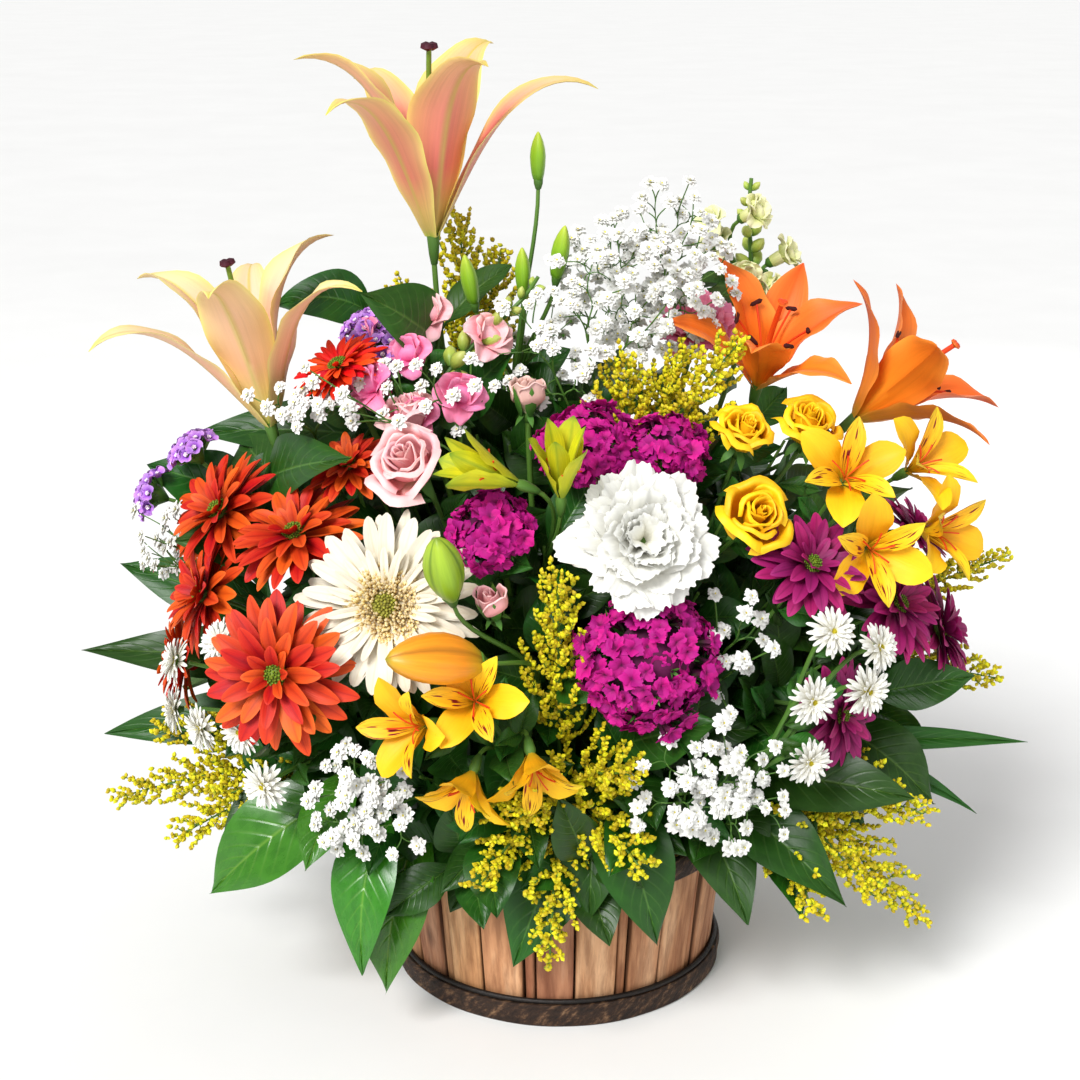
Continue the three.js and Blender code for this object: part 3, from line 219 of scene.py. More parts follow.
# A stem ends at its end, and its leaves are
# (share of the stem below the leaf, x, y and z of the leaf's tip, arch, width).
SPRIGS = {
    "leaves_top_left": dict(end=(-108, 46, 396), leaves=[
        (0.72, -214, 40, 318, 12, 38), (0.9, -104, 96, 380, 12, 36),
        (0.96, -164, 34, 396, 20, 36)]),
    "leaves_left": dict(end=(-166, 26, 214), leaves=[
        (0.5, -276, 8, 138, 10, 38), (0.72, -288, 14, 190, 6, 32), (0.9, -266, 36, 238, 6, 36)]),
    "leaves_low_left": dict(end=(-118, -96, 166), leaves=[
        (0.5, -98, -112, 30, 26, 42), (0.72, -110, -120, 46, 26, 36),
        (0.84, -198, -92, 82, 16, 50), (0.94, -138, -136, 118, 8, 30)]),
    "leaves_front": dict(end=(26, -100, 180), leaves=[
        (0.46, -26, -122, 52, 22, 50), (0.56, 16, -124, 82, 18, 40),
        (0.68, 54, -126, 68, 22, 44), (0.9, 84, -134, 204, 6, 36)]),
    "leaves_upper_left": dict(end=(-184, 22, 298), leaves=[
        (0.9, -242, 18, 304, 6, 40), (0.96, -112, -88, 336, 10, 38)]),
    "leaves_low_right": dict(end=(108, -74, 160), leaves=[
        (0.5, 104, -122, 78, 22, 44), (0.62, 158, -124, 90, 18, 40),
        (0.8, 196, -104, 146, 12, 40)]),
    "leaves_right": dict(end=(182, -40, 186), leaves=[
        (0.6, 274, -38, 152, 14, 14), (0.7, 244, -50, 112, 14, 12),
        (0.8, 214, -72, 128, 12, 40), (0.95, 238, -46, 196, 6, 30)]),
    "leaves_back_left": dict(end=(-136, 84, 226), leaves=[
        (0.45, -150, 118, 50, 40, 56), (0.6, -240, 78, 140, 20, 54),
        (0.75, -176, 150, 178, 18, 52), (0.95, -226, 92, 268, 12, 48)]),
    "leaves_back_right": dict(end=(138, 78, 226), leaves=[
        (0.36, 50, 150, 48, 36, 54), (0.45, 150, 112, 50, 40, 56), (0.6, 240, 74, 134, 20, 54),
        (0.75, 172, 146, 172, 18, 52), (0.95, 222, 84, 272, 12, 48)]),
    "leaves_back": dict(end=(-26, 106, 246), leaves=[
        (0.4, -40, 152, 48, 34, 56), (0.7, -76, 164, 176, 16, 50), (0.8, -8, 176, 192, 14, 46),
        (0.96, -50, 152, 316, 12, 46)]),
}

# Leafy stems that close the gaps between the flowers. Their tips lie on the cap of a dome, so many
# degrees wide, and their leaves begin at low, a share of the stem.
FILLERS = {
    "foliage_dome": dict(count=84, cap=98, centre=(0, 4, 150), reach=(190, 118, 190), leaves=7,
                         size=50, low=0.46),
    "foliage_high": dict(count=30, cap=64, centre=(-10, 24, 230), reach=(176, 64, 140), leaves=6,
                         size=46, low=0.5),
    "foliage_rim": dict(count=40, cap=104, centre=(0, 0, 128), reach=(170, 132, 60), leaves=7,
                        size=50, low=0.42),
    "foliage_left": dict(count=16, cap=100, centre=(-122, -14, 196), reach=(66, 62, 76), leaves=6,
                         size=44, low=0.5),
    "foliage_right": dict(count=16, cap=100, centre=(126, -14, 196), reach=(66, 62, 76), leaves=6,
                          size=44, low=0.5),
}
# Thin sprays of florets between the flowers, as CLOUDS gives them.
SPRAYS = {
    "gypsophila_edge": dict(joint=(-120, -30, 200), centre=(-226, -20, 268), reach=(22, 22, 34),
        florets=22),
    "gypsophila_middle": dict(joint=(-30, -40, 290), centre=(-80, -66, 366), reach=(60, 24, 26),
        florets=18),
    "gypsophila_front": dict(joint=(80, -60, 180), centre=(92, -114, 238), reach=(32, 12, 36),
        florets=16),
    "gypsophila_heart": dict(joint=(16, -14, 290), centre=(8, -26, 390), reach=(50, 22, 42),
        florets=48),
}


# ---------------------------------------------------------------- vectors and places
def vec(*values):
    return np.array(values, float)


def unit(v):
    return v / max(np.linalg.norm(v), 1e-9)


def direction(azimuth, elevation):
    a, e = math.radians(azimuth), math.radians(elevation)
    return vec(math.cos(e) * math.sin(a), -math.cos(e) * math.cos(a), math.sin(e))


def aimed(place, facing, turn=0.0, size=1.0):
    """The matrix that scales a form, turns it about +Z, turns its +Z the shortest way to facing
    and puts its origin at place."""
    f = unit(np.asarray(facing, float))
    v, c = np.cross((0, 0, 1), f), f[2]
    cross = np.array([[0, -v[2], v[1]], [v[2], 0, -v[0]], [-v[1], v[0], 0]])
    bend = np.eye(3) + cross + cross @ cross / max(1 + c, 1e-6)
    if c < -0.999999:
        bend = np.diag([1.0, -1.0, -1.0])
    spin = np.array([[math.cos(turn), -math.sin(turn), 0], [math.sin(turn), math.cos(turn), 0],
                     [0, 0, 1]])
    matrix = np.eye(4)
    matrix[:3, :3] = bend @ spin * size
    matrix[:3, 3] = place
    return matrix


def bezier(*points, count=PATH_STEPS):
    """A curve of three or four control points."""
    t = np.linspace(0, 1, count)[:, None]
    while len(points) > 1:
        points = [a + (b - a) * t for a, b in zip(points[:-1], points[1:])]
    return points[0]


# ---------------------------------------------------------------- forms
# A form is one or more closed surfaces. marks holds four numbers for each point, which materials
# read: how far along the blade it is, how far across, a number for the blade's tint, and 1 on the
# underside.
class Form:
    def __init__(self, points, faces, marks):
        self.points, self.faces, self.marks = points, faces, marks

    def moved(self, matrix, tint=None):
        marks = self.marks
        if tint is not None:
            marks = marks.copy()
            marks[:, 2] = (marks[:, 2] + tint) % 1
        return Form(self.points @ matrix[:3, :3].T + matrix[:3, 3], self.faces, marks)

    def stamped(self, matrices, random):
        """A copy at each place, each with a tint of its own."""
        return joined([self.moved(m, random.random()) for m in matrices])


def joined(forms):
    points, faces, marks, total = [], [], [], 0
    for form in forms:
        points.append(form.points)
        marks.append(form.marks)
        faces += [f + total for f in form.faces]
        total += len(form.points)
    if not total:
        return Form(np.zeros((0, 3)), [], np.zeros((0, 4)))
    by_sides = {}
    for f in faces:
        by_sides.setdefault(f.shape[1], []).append(f)
    return Form(np.concatenate(points), [np.concatenate(f) for f in by_sides.values()],
                np.concatenate(marks))


def quads(index):
    """The faces between the rows and columns of a grid of points."""
    return np.stack([index[:-1, :-1], index[1:, :-1], index[1:, 1:], index[:-1, 1:]],
                    -1).reshape(-1, 4)


def shell(points, along, across, tint, thick):
    """A thin body from a grid of points: full at its middle, sharp at its edges."""
    rows, columns = points.shape[:2]
    normal = np.cross(np.gradient(points, axis=0), np.gradient(points, axis=1))
    normal /= np.maximum(np.linalg.norm(normal, axis=-1, keepdims=True), 1e-9)
    top = np.arange(rows * columns).reshape(rows, columns)
    bottom = top.copy()
    inner = (rows - 2) * (columns - 2)
    bottom[1:-1, 1:-1] = rows * columns + np.arange(inner).reshape(rows - 2, columns - 2)
    lift = np.zeros((rows, columns, 1))
    lift[1:-1, 1:-1] = thick / 2
    marks = np.stack(np.broadcast_arrays(along, (across + 1) / 2, tint, 0.0), -1)
    marks = np.broadcast_to(marks, (rows, columns, 4)).astype(float)
    under = marks[1:-1, 1:-1].reshape(-1, 4).copy()
    under[:, 3] = 1
    return Form(np.concatenate([(points + normal * lift).reshape(-1, 3),
                                (points - normal * lift)[1:-1, 1:-1].reshape(-1, 3)]),
                [quads(top), quads(bottom)[:, ::-1]],
                np.concatenate([marks.reshape(-1, 4), under]))


def spindle(s, root, peak, tip, power):
    """Half width along a blade: from root to 1 at the peak, then to tip."""
    rising = root + (1 - root) * np.sin(np.pi / 2 * np.clip(s / peak, 0, 1))
    falling = np.cos(np.pi / 2 * np.clip((s - peak) / (1 - peak), 0, 1)) ** power
    return np.where(s < peak, rising, tip + (1 - tip) * falling)


def grid(rows, columns, ease=0.0):
    """Steps s along and w across a blade. With ease, those along it crowd towards its tip."""
    t = np.linspace(0, 1, rows + 1)[:, None]
    return t + ease * (np.sin(np.pi / 2 * t) - t), np.linspace(-1, 1, columns + 1)[None, :]


def petal(length, width, rise, bend, outline, cup=0.0, channel=0.0, ruffle=0.0, waves=3, crimp=0.0,
          crimps=4, blunt=0.0, teeth=0.0, twist=0.0, sway=0.0, frill=0.0, frills=9, start=0.0,
          phase=0.0, thick=0.6, rows=8, columns=4, ease=0.0):
    """A petal that grows along +X. Its slope goes from rise[0] to rise[1] degrees above the
    flower's plane, late in its length where bend is above 1."""
    s, w = grid(rows, columns, ease)
    notch = teeth * (0.5 + 0.5 * np.sin(12.9 * np.arange(columns + 1) ** 1.5 + 9 * phase))
    reach = 1 - blunt * np.abs(w) ** 2.5 - notch
    t = s * reach
    fine = np.linspace(0, 1, SLOPE_STEPS + 1)
    slope = np.radians(rise[0] + (rise[1] - rise[0]) * fine ** bend)
    middle = (slope[1:] + slope[:-1]) / 2
    step = length / SLOPE_STEPS
    out = np.concatenate([[0], np.cumsum(np.cos(middle) * step)])
    up = np.concatenate([[0], np.cumsum(np.sin(middle) * step)])
    x, z, tilt = (np.interp(t, fine, values) for values in (out, up, slope))
    half = width / 2 * spindle(s, *outline)
    side = half * w
    lift = cup * half * np.abs(w) ** 1.6 - channel * np.exp(-((w / 0.2) ** 2)) * np.sin(np.pi * s)
    lift = lift + ruffle * np.sin(2 * np.pi * waves * s + phase) * w * np.abs(w) * np.sin(np.pi * s)
    lift = lift + crimp * np.sin(np.pi * crimps * w + phase) * s ** 2
    lift = lift + frill * np.sin(np.pi * frills * w + 2 * phase) * s ** 4
    turn = math.radians(twist) * s
    y = side * np.cos(turn) - lift * np.sin(turn) + sway * length * s ** 2
    n = side * np.sin(turn) + lift * np.cos(turn)
    points = np.stack([start + x - n * np.sin(tilt), y + 0 * x, z + n * np.cos(tilt)], -1)
    return shell(points, s, w, 0.0, thick)


def whorl(count, make, height=0.0, turn=0.0, jitter=0.0, random=None):
    """Petals all round, each made by make(i)."""
    forms = []
    for i in range(count):
        shift = jitter * (random.random() - 0.5) if random else 0.0
        angle = turn + 2 * math.pi * (i + shift) / count
        tint = random.random() if random else i / count
        forms.append(make(i).moved(aimed((0, 0, height), (0, 0, 1), angle), tint))
    return joined(forms)


def wrapped(base, belly, lip, height, spread, roll, ruffle, phase):
    """A petal that wraps round the flower's axis, as a rose's do. spread is half its angle, and
    roll is how far its lip turns out."""
    s, w = grid(10, 10, 0.5)
    knots = [0, 0.4, 0.75, 0.92, 1]
    radius = np.interp(s, knots, [base, belly, lip, lip + 0.4 * roll, lip + roll])
    rise = np.interp(s, knots, [0, 0.5, 0.9, 1, 1 - 0.3 * roll / max(belly, 1)])
    rise = rise * height * (1 - 0.3 * np.abs(w) ** 2.6 * s)
    rise = rise + ruffle * np.sin(2.2 * np.pi * w + phase) * s ** 3
    radius = radius + ruffle * np.cos(1.7 * np.pi * w + 2 * phase) * s ** 2
    angle = math.radians(spread) * w * (0.55 + 0.45 * np.sin(np.pi * np.clip(s, 0, 0.8) / 1.6))
    points = np.stack([radius * np.cos(angle), radius * np.sin(angle), rise + 0 * angle], -1)
    return shell(points, s, w, 0.0, 0.5)


def lofted(rings, marks, loop=False):
    """A body through rings of points, closed by flat ends or joined into a loop."""
    count, sides = rings.shape[:2]
    index = np.arange(count * sides).reshape(count, sides)
    if loop:
        index = np.vstack([index, index[:1]])
    after = np.roll(index, -1, axis=1)
    faces = [np.stack([index[:-1], after[:-1], after[1:], index[1:]], -1).reshape(-1, 4)]
    if not loop:
        faces.append(np.stack([index[0][::-1], index[-1]]))
    return Form(rings.reshape(-1, 3), faces, marks.reshape(-1, 4))


def tube(path, radii, sides=7, lobes=0, depth=0.0, tint=0.0):
    """A stem along a path, or a pod where its radii swell, with lobes round it."""
    path = np.asarray(path, float)
    radii = np.broadcast_to(np.asarray(radii, float), (len(path),))
    along = np.gradient(path, axis=0)
    along /= np.maximum(np.linalg.norm(along, axis=1, keepdims=True), 1e-9)
    first = unit(np.cross(along[0], (0.3, 1, 0.2)))
    rings, turns = [], np.arange(sides) * 2 * np.pi / sides
    for point, ahead, radius in zip(path, along, radii):
        first = unit(first - ahead * first.dot(ahead))
        second = np.cross(ahead, first)
        out = radius * (1 + depth * np.cos(lobes * turns))[:, None]
        rings.append(point + out * (np.cos(turns)[:, None] * first + np.sin(turns)[:, None] * second))
    marks = np.zeros((len(path), sides, 4))
    marks[..., 0] = np.linspace(0, 1, len(path))[:, None]
    marks[..., 1] = np.arange(sides) / sides
    marks[..., 2] = tint
    return lofted(np.array(rings), marks)


def pod(profile, sides=8, lobes=0, depth=0.0):
    """A tube up the Z axis from (radius, height) points."""
    radii, heights = np.array(profile, float).T
    path = np.stack([0 * heights, 0 * heights, heights], -1)
    return tube(path, radii, sides, lobes, depth)


def spread_on_dome(count, cap, random=None, jitter=0.0):
    """Directions spread evenly over a cap, whose edge is cap degrees from +Z."""
    for i in range(count):
        polar = math.radians(cap) * math.sqrt((i + 0.5) / count)
        turn = i * GOLDEN_ANGLE
        if random:
            polar += jitter * (random.random() - 0.5)
            turn += jitter * (random.random() - 0.5)
        yield vec(math.sin(polar) * math.cos(turn), math.sin(polar) * math.sin(turn),
                  math.cos(polar))


# ---------------------------------------------------------------- the kinds of flower
# Each makes a flower on the Z axis, with its heart at the origin, as {material: form}. The petals
# are under "petal", which takes the plant's own colour. Each takes a size and the plant's random
# draws, which lilies and buds leave alone. Its size is what PLANTS gives: for a lily or an
# alstroemeria the length of one petal. An outline is the root, peak, tip and power of a spindle.
LEAFLET = (0.16, 0.42, 0.02, 1.1)
TEPAL = (0.26, 0.52, 0.03, 1.15)
BROAD_TEPAL = (0.16, 0.5, 0.01, 1.12)
STRAP = (0.4, 0.62, 0.05, 0.62)
ROUND_STRAP = (0.4, 0.7, 0.1, 0.5)
FAN = (0.18, 0.95, 0.96, 1)
WIDE_FAN = (0.2, 0.84, 0.86, 1)


def stigma(at, size):
    """Three round lobes."""
    lobes = [pod([(0.1, 0), (size * 0.5, size * 0.25), (size * 0.42, size * 0.6), (0.1, size * 0.75)])
             .moved(aimed(at + vec(math.cos(a), math.sin(a), 0) * size * 0.3, (0, 0, 1)))
             for a in (0.3, 2.4, 4.5)]
    return joined(lobes)


def lily(length, random, phase, rise=((64, -36), (77, -20)), bend=3.1, width=(0.22, 0.285), style=0.76,
         anthers=False):
    """Three narrow petals outside and three broad ones inside."""
    turn = math.radians(phase)
    outer = whorl(3, lambda i: petal(
        length, length * width[0], rise[0], bend, TEPAL, cup=0.16, channel=1.6, ruffle=1.2,
        waves=2 + i, phase=i, twist=(14, -10, 8)[i], start=3, thick=1.0, rows=22, columns=8),
        0, turn + math.pi / 3)
    inner = whorl(3, lambda i: petal(
        length * 0.98, length * width[1], rise[1], bend, BROAD_TEPAL, cup=0.34, channel=2.4, ruffle=2.2,
        waves=3, phase=2 * i + 1, twist=(-8, 10, 6)[i], start=3, thick=1.0, rows=22, columns=10),
        2, turn)
    lean = vec(0.02, -0.06, 0) * length
    pistil = bezier(vec(0, 0, 6), vec(0, 0, length * style * 0.6), lean + vec(0, 0, length * style))
    parts = {
        "petal": joined([outer, inner]),
        "style": tube(pistil, np.linspace(1.9, 1.5, PATH_STEPS)),
        "stigma": stigma(pistil[-1] - vec(0, 0, 1), length * 0.05),
        "green": pod([(2, -16), (3, -10), (3.8, 0), (2.6, 4)], 9),
    }
    if anthers:
        threads, tops = [], []
        for i in range(6):
            far = direction(60 * i + 24, 66) * length * 0.62
            path = bezier(vec(0, 0, 4), vec(0, 0, length * 0.3), far)
            threads.append(tube(path, 0.7, 5))
            tops.append(pod([(0.2, -4), (1.2, -2.6), (1.4, 2.6), (0.2, 4)], 6)
                        .moved(aimed(far, unit(np.cross(far, (0, 0, 1))) + (0, 0, 0.4))))
        parts["filament"] = joined(threads)
        parts["anther"] = joined(tops)
    return parts


def lily_small(length, random, phase):
    """A lily that opens flatter, with stamens."""
    parts = lily(length, random, phase, ((58, -2), (72, 8)), 2, (0.33, 0.4), 0.8, True)
    parts["filament"] = joined([parts["filament"], parts.pop("style"), parts.pop("stigma")])
    return parts


def bud(length, random):
    """A slender bud with three low ribs."""
    profile = [(0.035, 0), (0.1, 0.06), (0.125, 0.16), (0.145, 0.32), (0.155, 0.5), (0.14, 0.66),
               (0.105, 0.8), (0.066, 0.9), (0.035, 0.965), (0.004, 1)]
    return {"petal": pod([(r * length, z * length) for r, z in profile], 24, 3, 0.1),
            "green": pod([(1.6, -4), (2.6, -1), (length * 0.1, 3), (length * 0.06, 4)], 9)}


def lily_bud(length, random, colour="petal"):
    """A plump bud with three low ribs."""
    profile = [(0.05, 0), (0.1, 0.05), (0.165, 0.15), (0.215, 0.28), (0.24, 0.43), (0.232, 0.58),
               (0.195, 0.73), (0.135, 0.86), (0.07, 0.95), (0.006, 1)]
    return {colour: pod([(r * length, z * length) for r, z in profile], 36, 3, 0.12),
            "green": pod([(1.8, -4), (3, -1), (length * 0.12, 3), (length * 0.07, 4)], 9)}


def lily_bud_unripe(length, random):
    return lily_bud(length, random, "bud_green")


def daisy(size, rows, eye, random, thick=0.7, outline=STRAP):
    """Rows of straps round a button. rows: (count, length, width, rise, height) in radii."""
    radius = size / 2
    parts = []
    for k, (count, length, width, rise, height) in enumerate(rows):
        def make(i, length=length, width=width, rise=rise):
            lift = random.uniform(-8, 8)
            return petal(
                radius * length * random.uniform(0.9, 1.03), radius * width * random.uniform(0.9, 1.1),
                (rise[0] + lift, rise[1] + 0.6 * lift + random.uniform(-14, 10)), 1.2, outline,
                cup=random.uniform(0.12, 0.34), channel=radius * 0.016, ruffle=radius * 0.012, waves=1.5,
                phase=random.uniform(0, 6), sway=random.uniform(-0.07, 0.07),
                twist=random.uniform(-18, 18), start=radius * 0.06, thick=thick, rows=9, columns=4,
                ease=0.8)
        parts.append(whorl(count, make, radius * height, 0.7 * k, 0.4, random))
    eye_radius, height, name = eye
    florets = [aimed(d * vec(1, 1, 0.55) * radius * eye_radius + vec(0, 0, radius * height), d, 0,
                     random.uniform(0.8, 1.15)) for d in spread_on_dome(EYE_FLORETS, 88, random, 0.08)]
    seed = pod([(radius * 0.01, -radius * 0.03), (radius * 0.019, 0),
                (radius * 0.017, radius * 0.016), (0.02, radius * 0.03)], 5)
    core = pod([(radius * eye_radius * 0.9, -radius * 0.16),
                (radius * eye_radius * 0.97, radius * height * 0.9),
                (radius * eye_radius * 0.7, radius * (height + eye_radius * 0.36)),
                (0.1, radius * (height + eye_radius * 0.54))], 14)
    return {"petal": joined(parts), name: joined([core, seed.stamped(florets, random)]),
            "green": pod([(1.8, -radius * 0.34), (radius * 0.14, -radius * 0.24),
                          (radius * 0.26, -radius * 0.06), (radius * 0.2, 0)], 10)}


def mum(size, random):
    rows = [(17, 1.08, 0.27, (8, -12), -0.06), (15, 0.98, 0.26, (22, -2), -0.01),
            (12, 0.78, 0.22, (40, 12), 0.04), (8, 0.48, 0.17, (60, 34), 0.08)]
    return daisy(size, rows, (0.17, 0.12, "eye"), random)


def button(size, random):
    rows = [(19, 0.96, 0.17, (8, -10), -0.08), (18, 0.88, 0.17, (24, 2), 0.0),
            (15, 0.7, 0.15, (42, 14), 0.06), (9, 0.44, 0.13, (62, 40), 0.1)]
    return daisy(size, rows, (0.16, 0.12, "eye_yellow"), random, 0.5, ROUND_STRAP)


def gerbera(size, random):
    """Long straps, then a thick ring of florets round a green heart."""
    radius = size / 2
    parts = daisy(size, [(30, 1.0, 0.175, (8, -7), -0.06), (27, 0.93, 0.17, (14, 0), -0.03),
                      (24, 0.62, 0.1, (20, 8), 0.0)], (0.13, 0.05, "eye_gerbera"), random,
                  0.7, ROUND_STRAP)
    strand = pod([(0.4, 0), (0.45, radius * 0.05), (1.05, radius * 0.08), (0.8, radius * 0.1),
                  (0.1, radius * 0.115)], 4)
    places = []
    for ring in range(10):
        share = round(0.14 + 0.025 * ring, 3)
        count = int(2 * math.pi * share * radius / 1.35)
        for i in range(count):
            turn = 2 * math.pi * (i + random.random()) / count
            out = vec(math.cos(turn), math.sin(turn), 0)
            lean = unit(out * (share * 4 - 0.5) + vec(random.uniform(-0.25, 0.25),
                                                      random.uniform(-0.25, 0.25), 1))
            places.append(aimed(out * share * radius + vec(0, 0, radius * (0.06 - 0.1 * share)), lean, 0,
                                random.uniform(0.7, 1.2)))
    parts["floss"] = strand.stamped(places, random)
    return parts


def gerbera_small(size, random):
    return daisy(size, [(26, 0.96, 0.19, (4, -10), -0.06), (24, 0.88, 0.18, (16, 0), -0.01),
                     (20, 0.62, 0.14, (30, 12), 0.03)], (0.2, 0.06, "eye"), random)


def carnation(size, random, count=60):
    """Toothed fans: those outside lie flat, those inside stand and close over the heart."""
    radius = size / 2
    petals = []
    for i in range(count):
        t = ((i + 0.5) / count) ** 0.85
        low = 86 - 54 * t + random.uniform(-6, 6)
        form = petal(radius * (0.8 + 0.36 * t) * random.uniform(0.92, 1.05),
                     radius * random.uniform(0.52, 0.74), (low, low - 12 - 46 * t), 1.8, WIDE_FAN,
                     cup=random.uniform(-0.12, 0.2), crimp=radius * random.uniform(0.02, 0.045),
                     crimps=random.uniform(1.2, 2.4), frill=radius * 0.012,
                     frills=random.uniform(5, 8), phase=random.uniform(0, 6), blunt=0.26,
                     teeth=0.045, sway=random.uniform(-0.05, 0.05),
                     twist=random.uniform(-12, 12), thick=0.5, rows=9, columns=20, ease=0.6)
        place = vec(random.uniform(-0.06, 0.06), random.uniform(-0.06, 0.06), -0.32 - 0.02 * t) * radius
        petals.append(form.moved(aimed(place, (0, 0, 1), i * GOLDEN_ANGLE), random.random()))
    return {"petal": joined(petals),
            "green": pod([(2, -20), (4.6, -17), (6, -10), (6.4, -4), (4, 0)], 10)}


def carnation_small(size, random):
    return carnation(size, random, 44)


def pink_flower(radius, random):
    """A flower of five round lobes, each bent its own way."""
    return whorl(5, lambda i: petal(
        radius * random.uniform(0.88, 1.1), radius * random.uniform(0.85, 1.02),
        (random.uniform(22, 62), random.uniform(-34, 22)), 1, FAN,
        cup=random.uniform(-0.1, 0.35), crimp=radius * 0.05, crimps=random.uniform(1, 2.4),
        phase=random.uniform(0, 6), blunt=0.3, teeth=0.2, twist=random.uniform(-28, 28),
        thick=0.4, rows=4, columns=8), 0, 0, 0.3, random)


def umbel(size, random, cap=106):
    """A head of round-lobed flowers that crowd one another, with green bracts between them."""
    radius = size / 2
    flowers = [pink_flower(7.6, random) for _ in range(7)]
    lump = random.uniform(0, 6)
    tubes, petals = [], []
    tube_form = pod([(radius * 0.02, -radius * 0.3), (radius * 0.035, -radius * 0.12),
                     (radius * 0.05, radius * 0.01)], 5)
    for i, d in enumerate(spread_on_dome(int(0.092 * radius * radius + 8), cap, random, 0.24)):
        uneven = 0.88 + 0.08 * math.sin(3 * d[0] + 5 * d[1] + lump) + random.uniform(-0.14, 0.08)
        lean = unit(d + vec(random.uniform(-0.5, 0.5), random.uniform(-0.5, 0.5), 0.2))
        place = aimed(d * radius * uneven * vec(1, 1, 0.72) - vec(0, 0, radius * 0.2), lean,
                      random.uniform(0, 6), random.uniform(0.75, 1.12))
        petals.append(flowers[i % len(flowers)].moved(place, random.random()))
        tubes.append(place)
    bracts = [aimed(d * radius * random.uniform(0.6, 0.84) * vec(1, 1, 0.7) - vec(0, 0, radius * 0.24), d,
                    random.uniform(0, 6), radius * 0.011) for d in spread_on_dome(40, 104)]
    bract = whorl(4, lambda i: petal(15, 4, (66, 50), 1, LEAFLET, rows=4, columns=2))
    return {"petal": joined(petals),
            # The florets' tubes are their calyces; the dark core pod inside the head is painted shade between
            # the florets.
            "calyx": joined([tube_form.stamped(tubes, random),
                             pod([(2.4, -radius * 0.6), (radius * 0.3, -radius * 0.4),
                                  (radius * 0.6, radius * 0.02), (radius * 0.36, radius * 0.32),
                                  (0.1, radius * 0.4)], 12)]),
            "green": bract.stamped(bracts, random)}


def umbel_small(size, random):
    return umbel(size, random, 98)


def rose(size, random, count=21, opening=1.0):
    """A tight spiral of petals that open further the further out they are."""
    radius = size / 2
    petals = []
    for i in range(count):
        t = i / (count - 1)
        belly = radius * (0.08 + 0.78 * t ** 1.15)
        lip = belly * (0.8 + 0.34 * t * opening)
        form = wrapped(radius * 0.14, belly, lip, radius * (1.66 - 0.5 * t * opening), 96 - 44 * t,
                       radius * (0.02 + 0.3 * t ** 2.2) * opening, radius * 0.075 * t, random.uniform(0, 6))
        lean = 0.05 + 0.1 * t
        tip = unit(vec(random.uniform(-lean, lean), random.uniform(-lean, lean), 1))
        place = vec(random.uniform(-0.05, 0.05) * radius, random.uniform(-0.05, 0.05) * radius,
                    -radius * 0.62)
        petals.append(form.moved(aimed(place, tip, i * GOLDEN_ANGLE), random.random()))
    sepals = whorl(5, lambda i: petal(radius * 0.8, radius * 0.3, (-20, -62), 1, LEAFLET, start=radius * 0.1,
                                      thick=0.6, rows=5, columns=2), -radius * 0.58)
    return {"petal": joined(petals),
            "green": joined([sepals, pod([(1.6, -radius * 1.1), (radius * 0.2, -radius * 0.95),
                                          (radius * 0.24, -radius * 0.7),
                                          (radius * 0.14, -radius * 0.55)], 9)])}


def rosebud(size, random):
    radius = size / 2
    parts = rose(size * 0.92, random, 11, 0.35)
    parts["green"] = joined([parts["green"], whorl(5, lambda i: petal(
        radius * 1.5, radius * 0.5, (66, 88), 1, LEAFLET, cup=0.3, start=radius * 0.34, rows=6, columns=2),
        -radius * 0.7)])
    return parts


def alstroemeria(length, random, rise=((58, 2), (68, 14)), width=(0.56, 0.34), bell=False):
    """Three broad petals outside and three narrow ones inside. A bell stays half closed."""
    turn = random.uniform(0, 2)
    outer = whorl(3, lambda i: petal(
        length * 1.08, length * width[0], rise[0], 1.4, (0.14, 0.64, 0.05, 0.72), cup=0.3, channel=0.6,
        ruffle=0.9, phase=i, twist=random.uniform(-14, 14), start=1.6, rows=11, columns=6),
        0, turn)
    inner = whorl(3, lambda i: petal(
        length * 1.08, length * width[1], rise[1], 1.4, (0.18, 0.66, 0.06, 0.9), cup=0.3, channel=0.7,
        twist=random.uniform(-10, 10), start=1.2, rows=11, columns=6), 2, turn + math.pi / 3)
    threads = joined([tube(bezier(vec(0, 0, 2), vec(0, 0, length * 0.4),
                                  direction(60 * i, 62) * length * random.uniform(0.52, 0.7)), 0.5, 4)
                      for i in range(5)])
    petals = {"petal": joined([outer, inner])} if bell else {"petal": outer, "streaked": inner}
    return {**petals, "filament": threads,
            "green": pod([(1.2, -length * 0.3), (2.4, -length * 0.22), (3.2, -length * 0.05), (2.2, 1.5)], 8)}


def bell(length, random):
    return alstroemeria(length * 0.92, random, ((72, 62), (80, 70)), (0.42, 0.3), True)


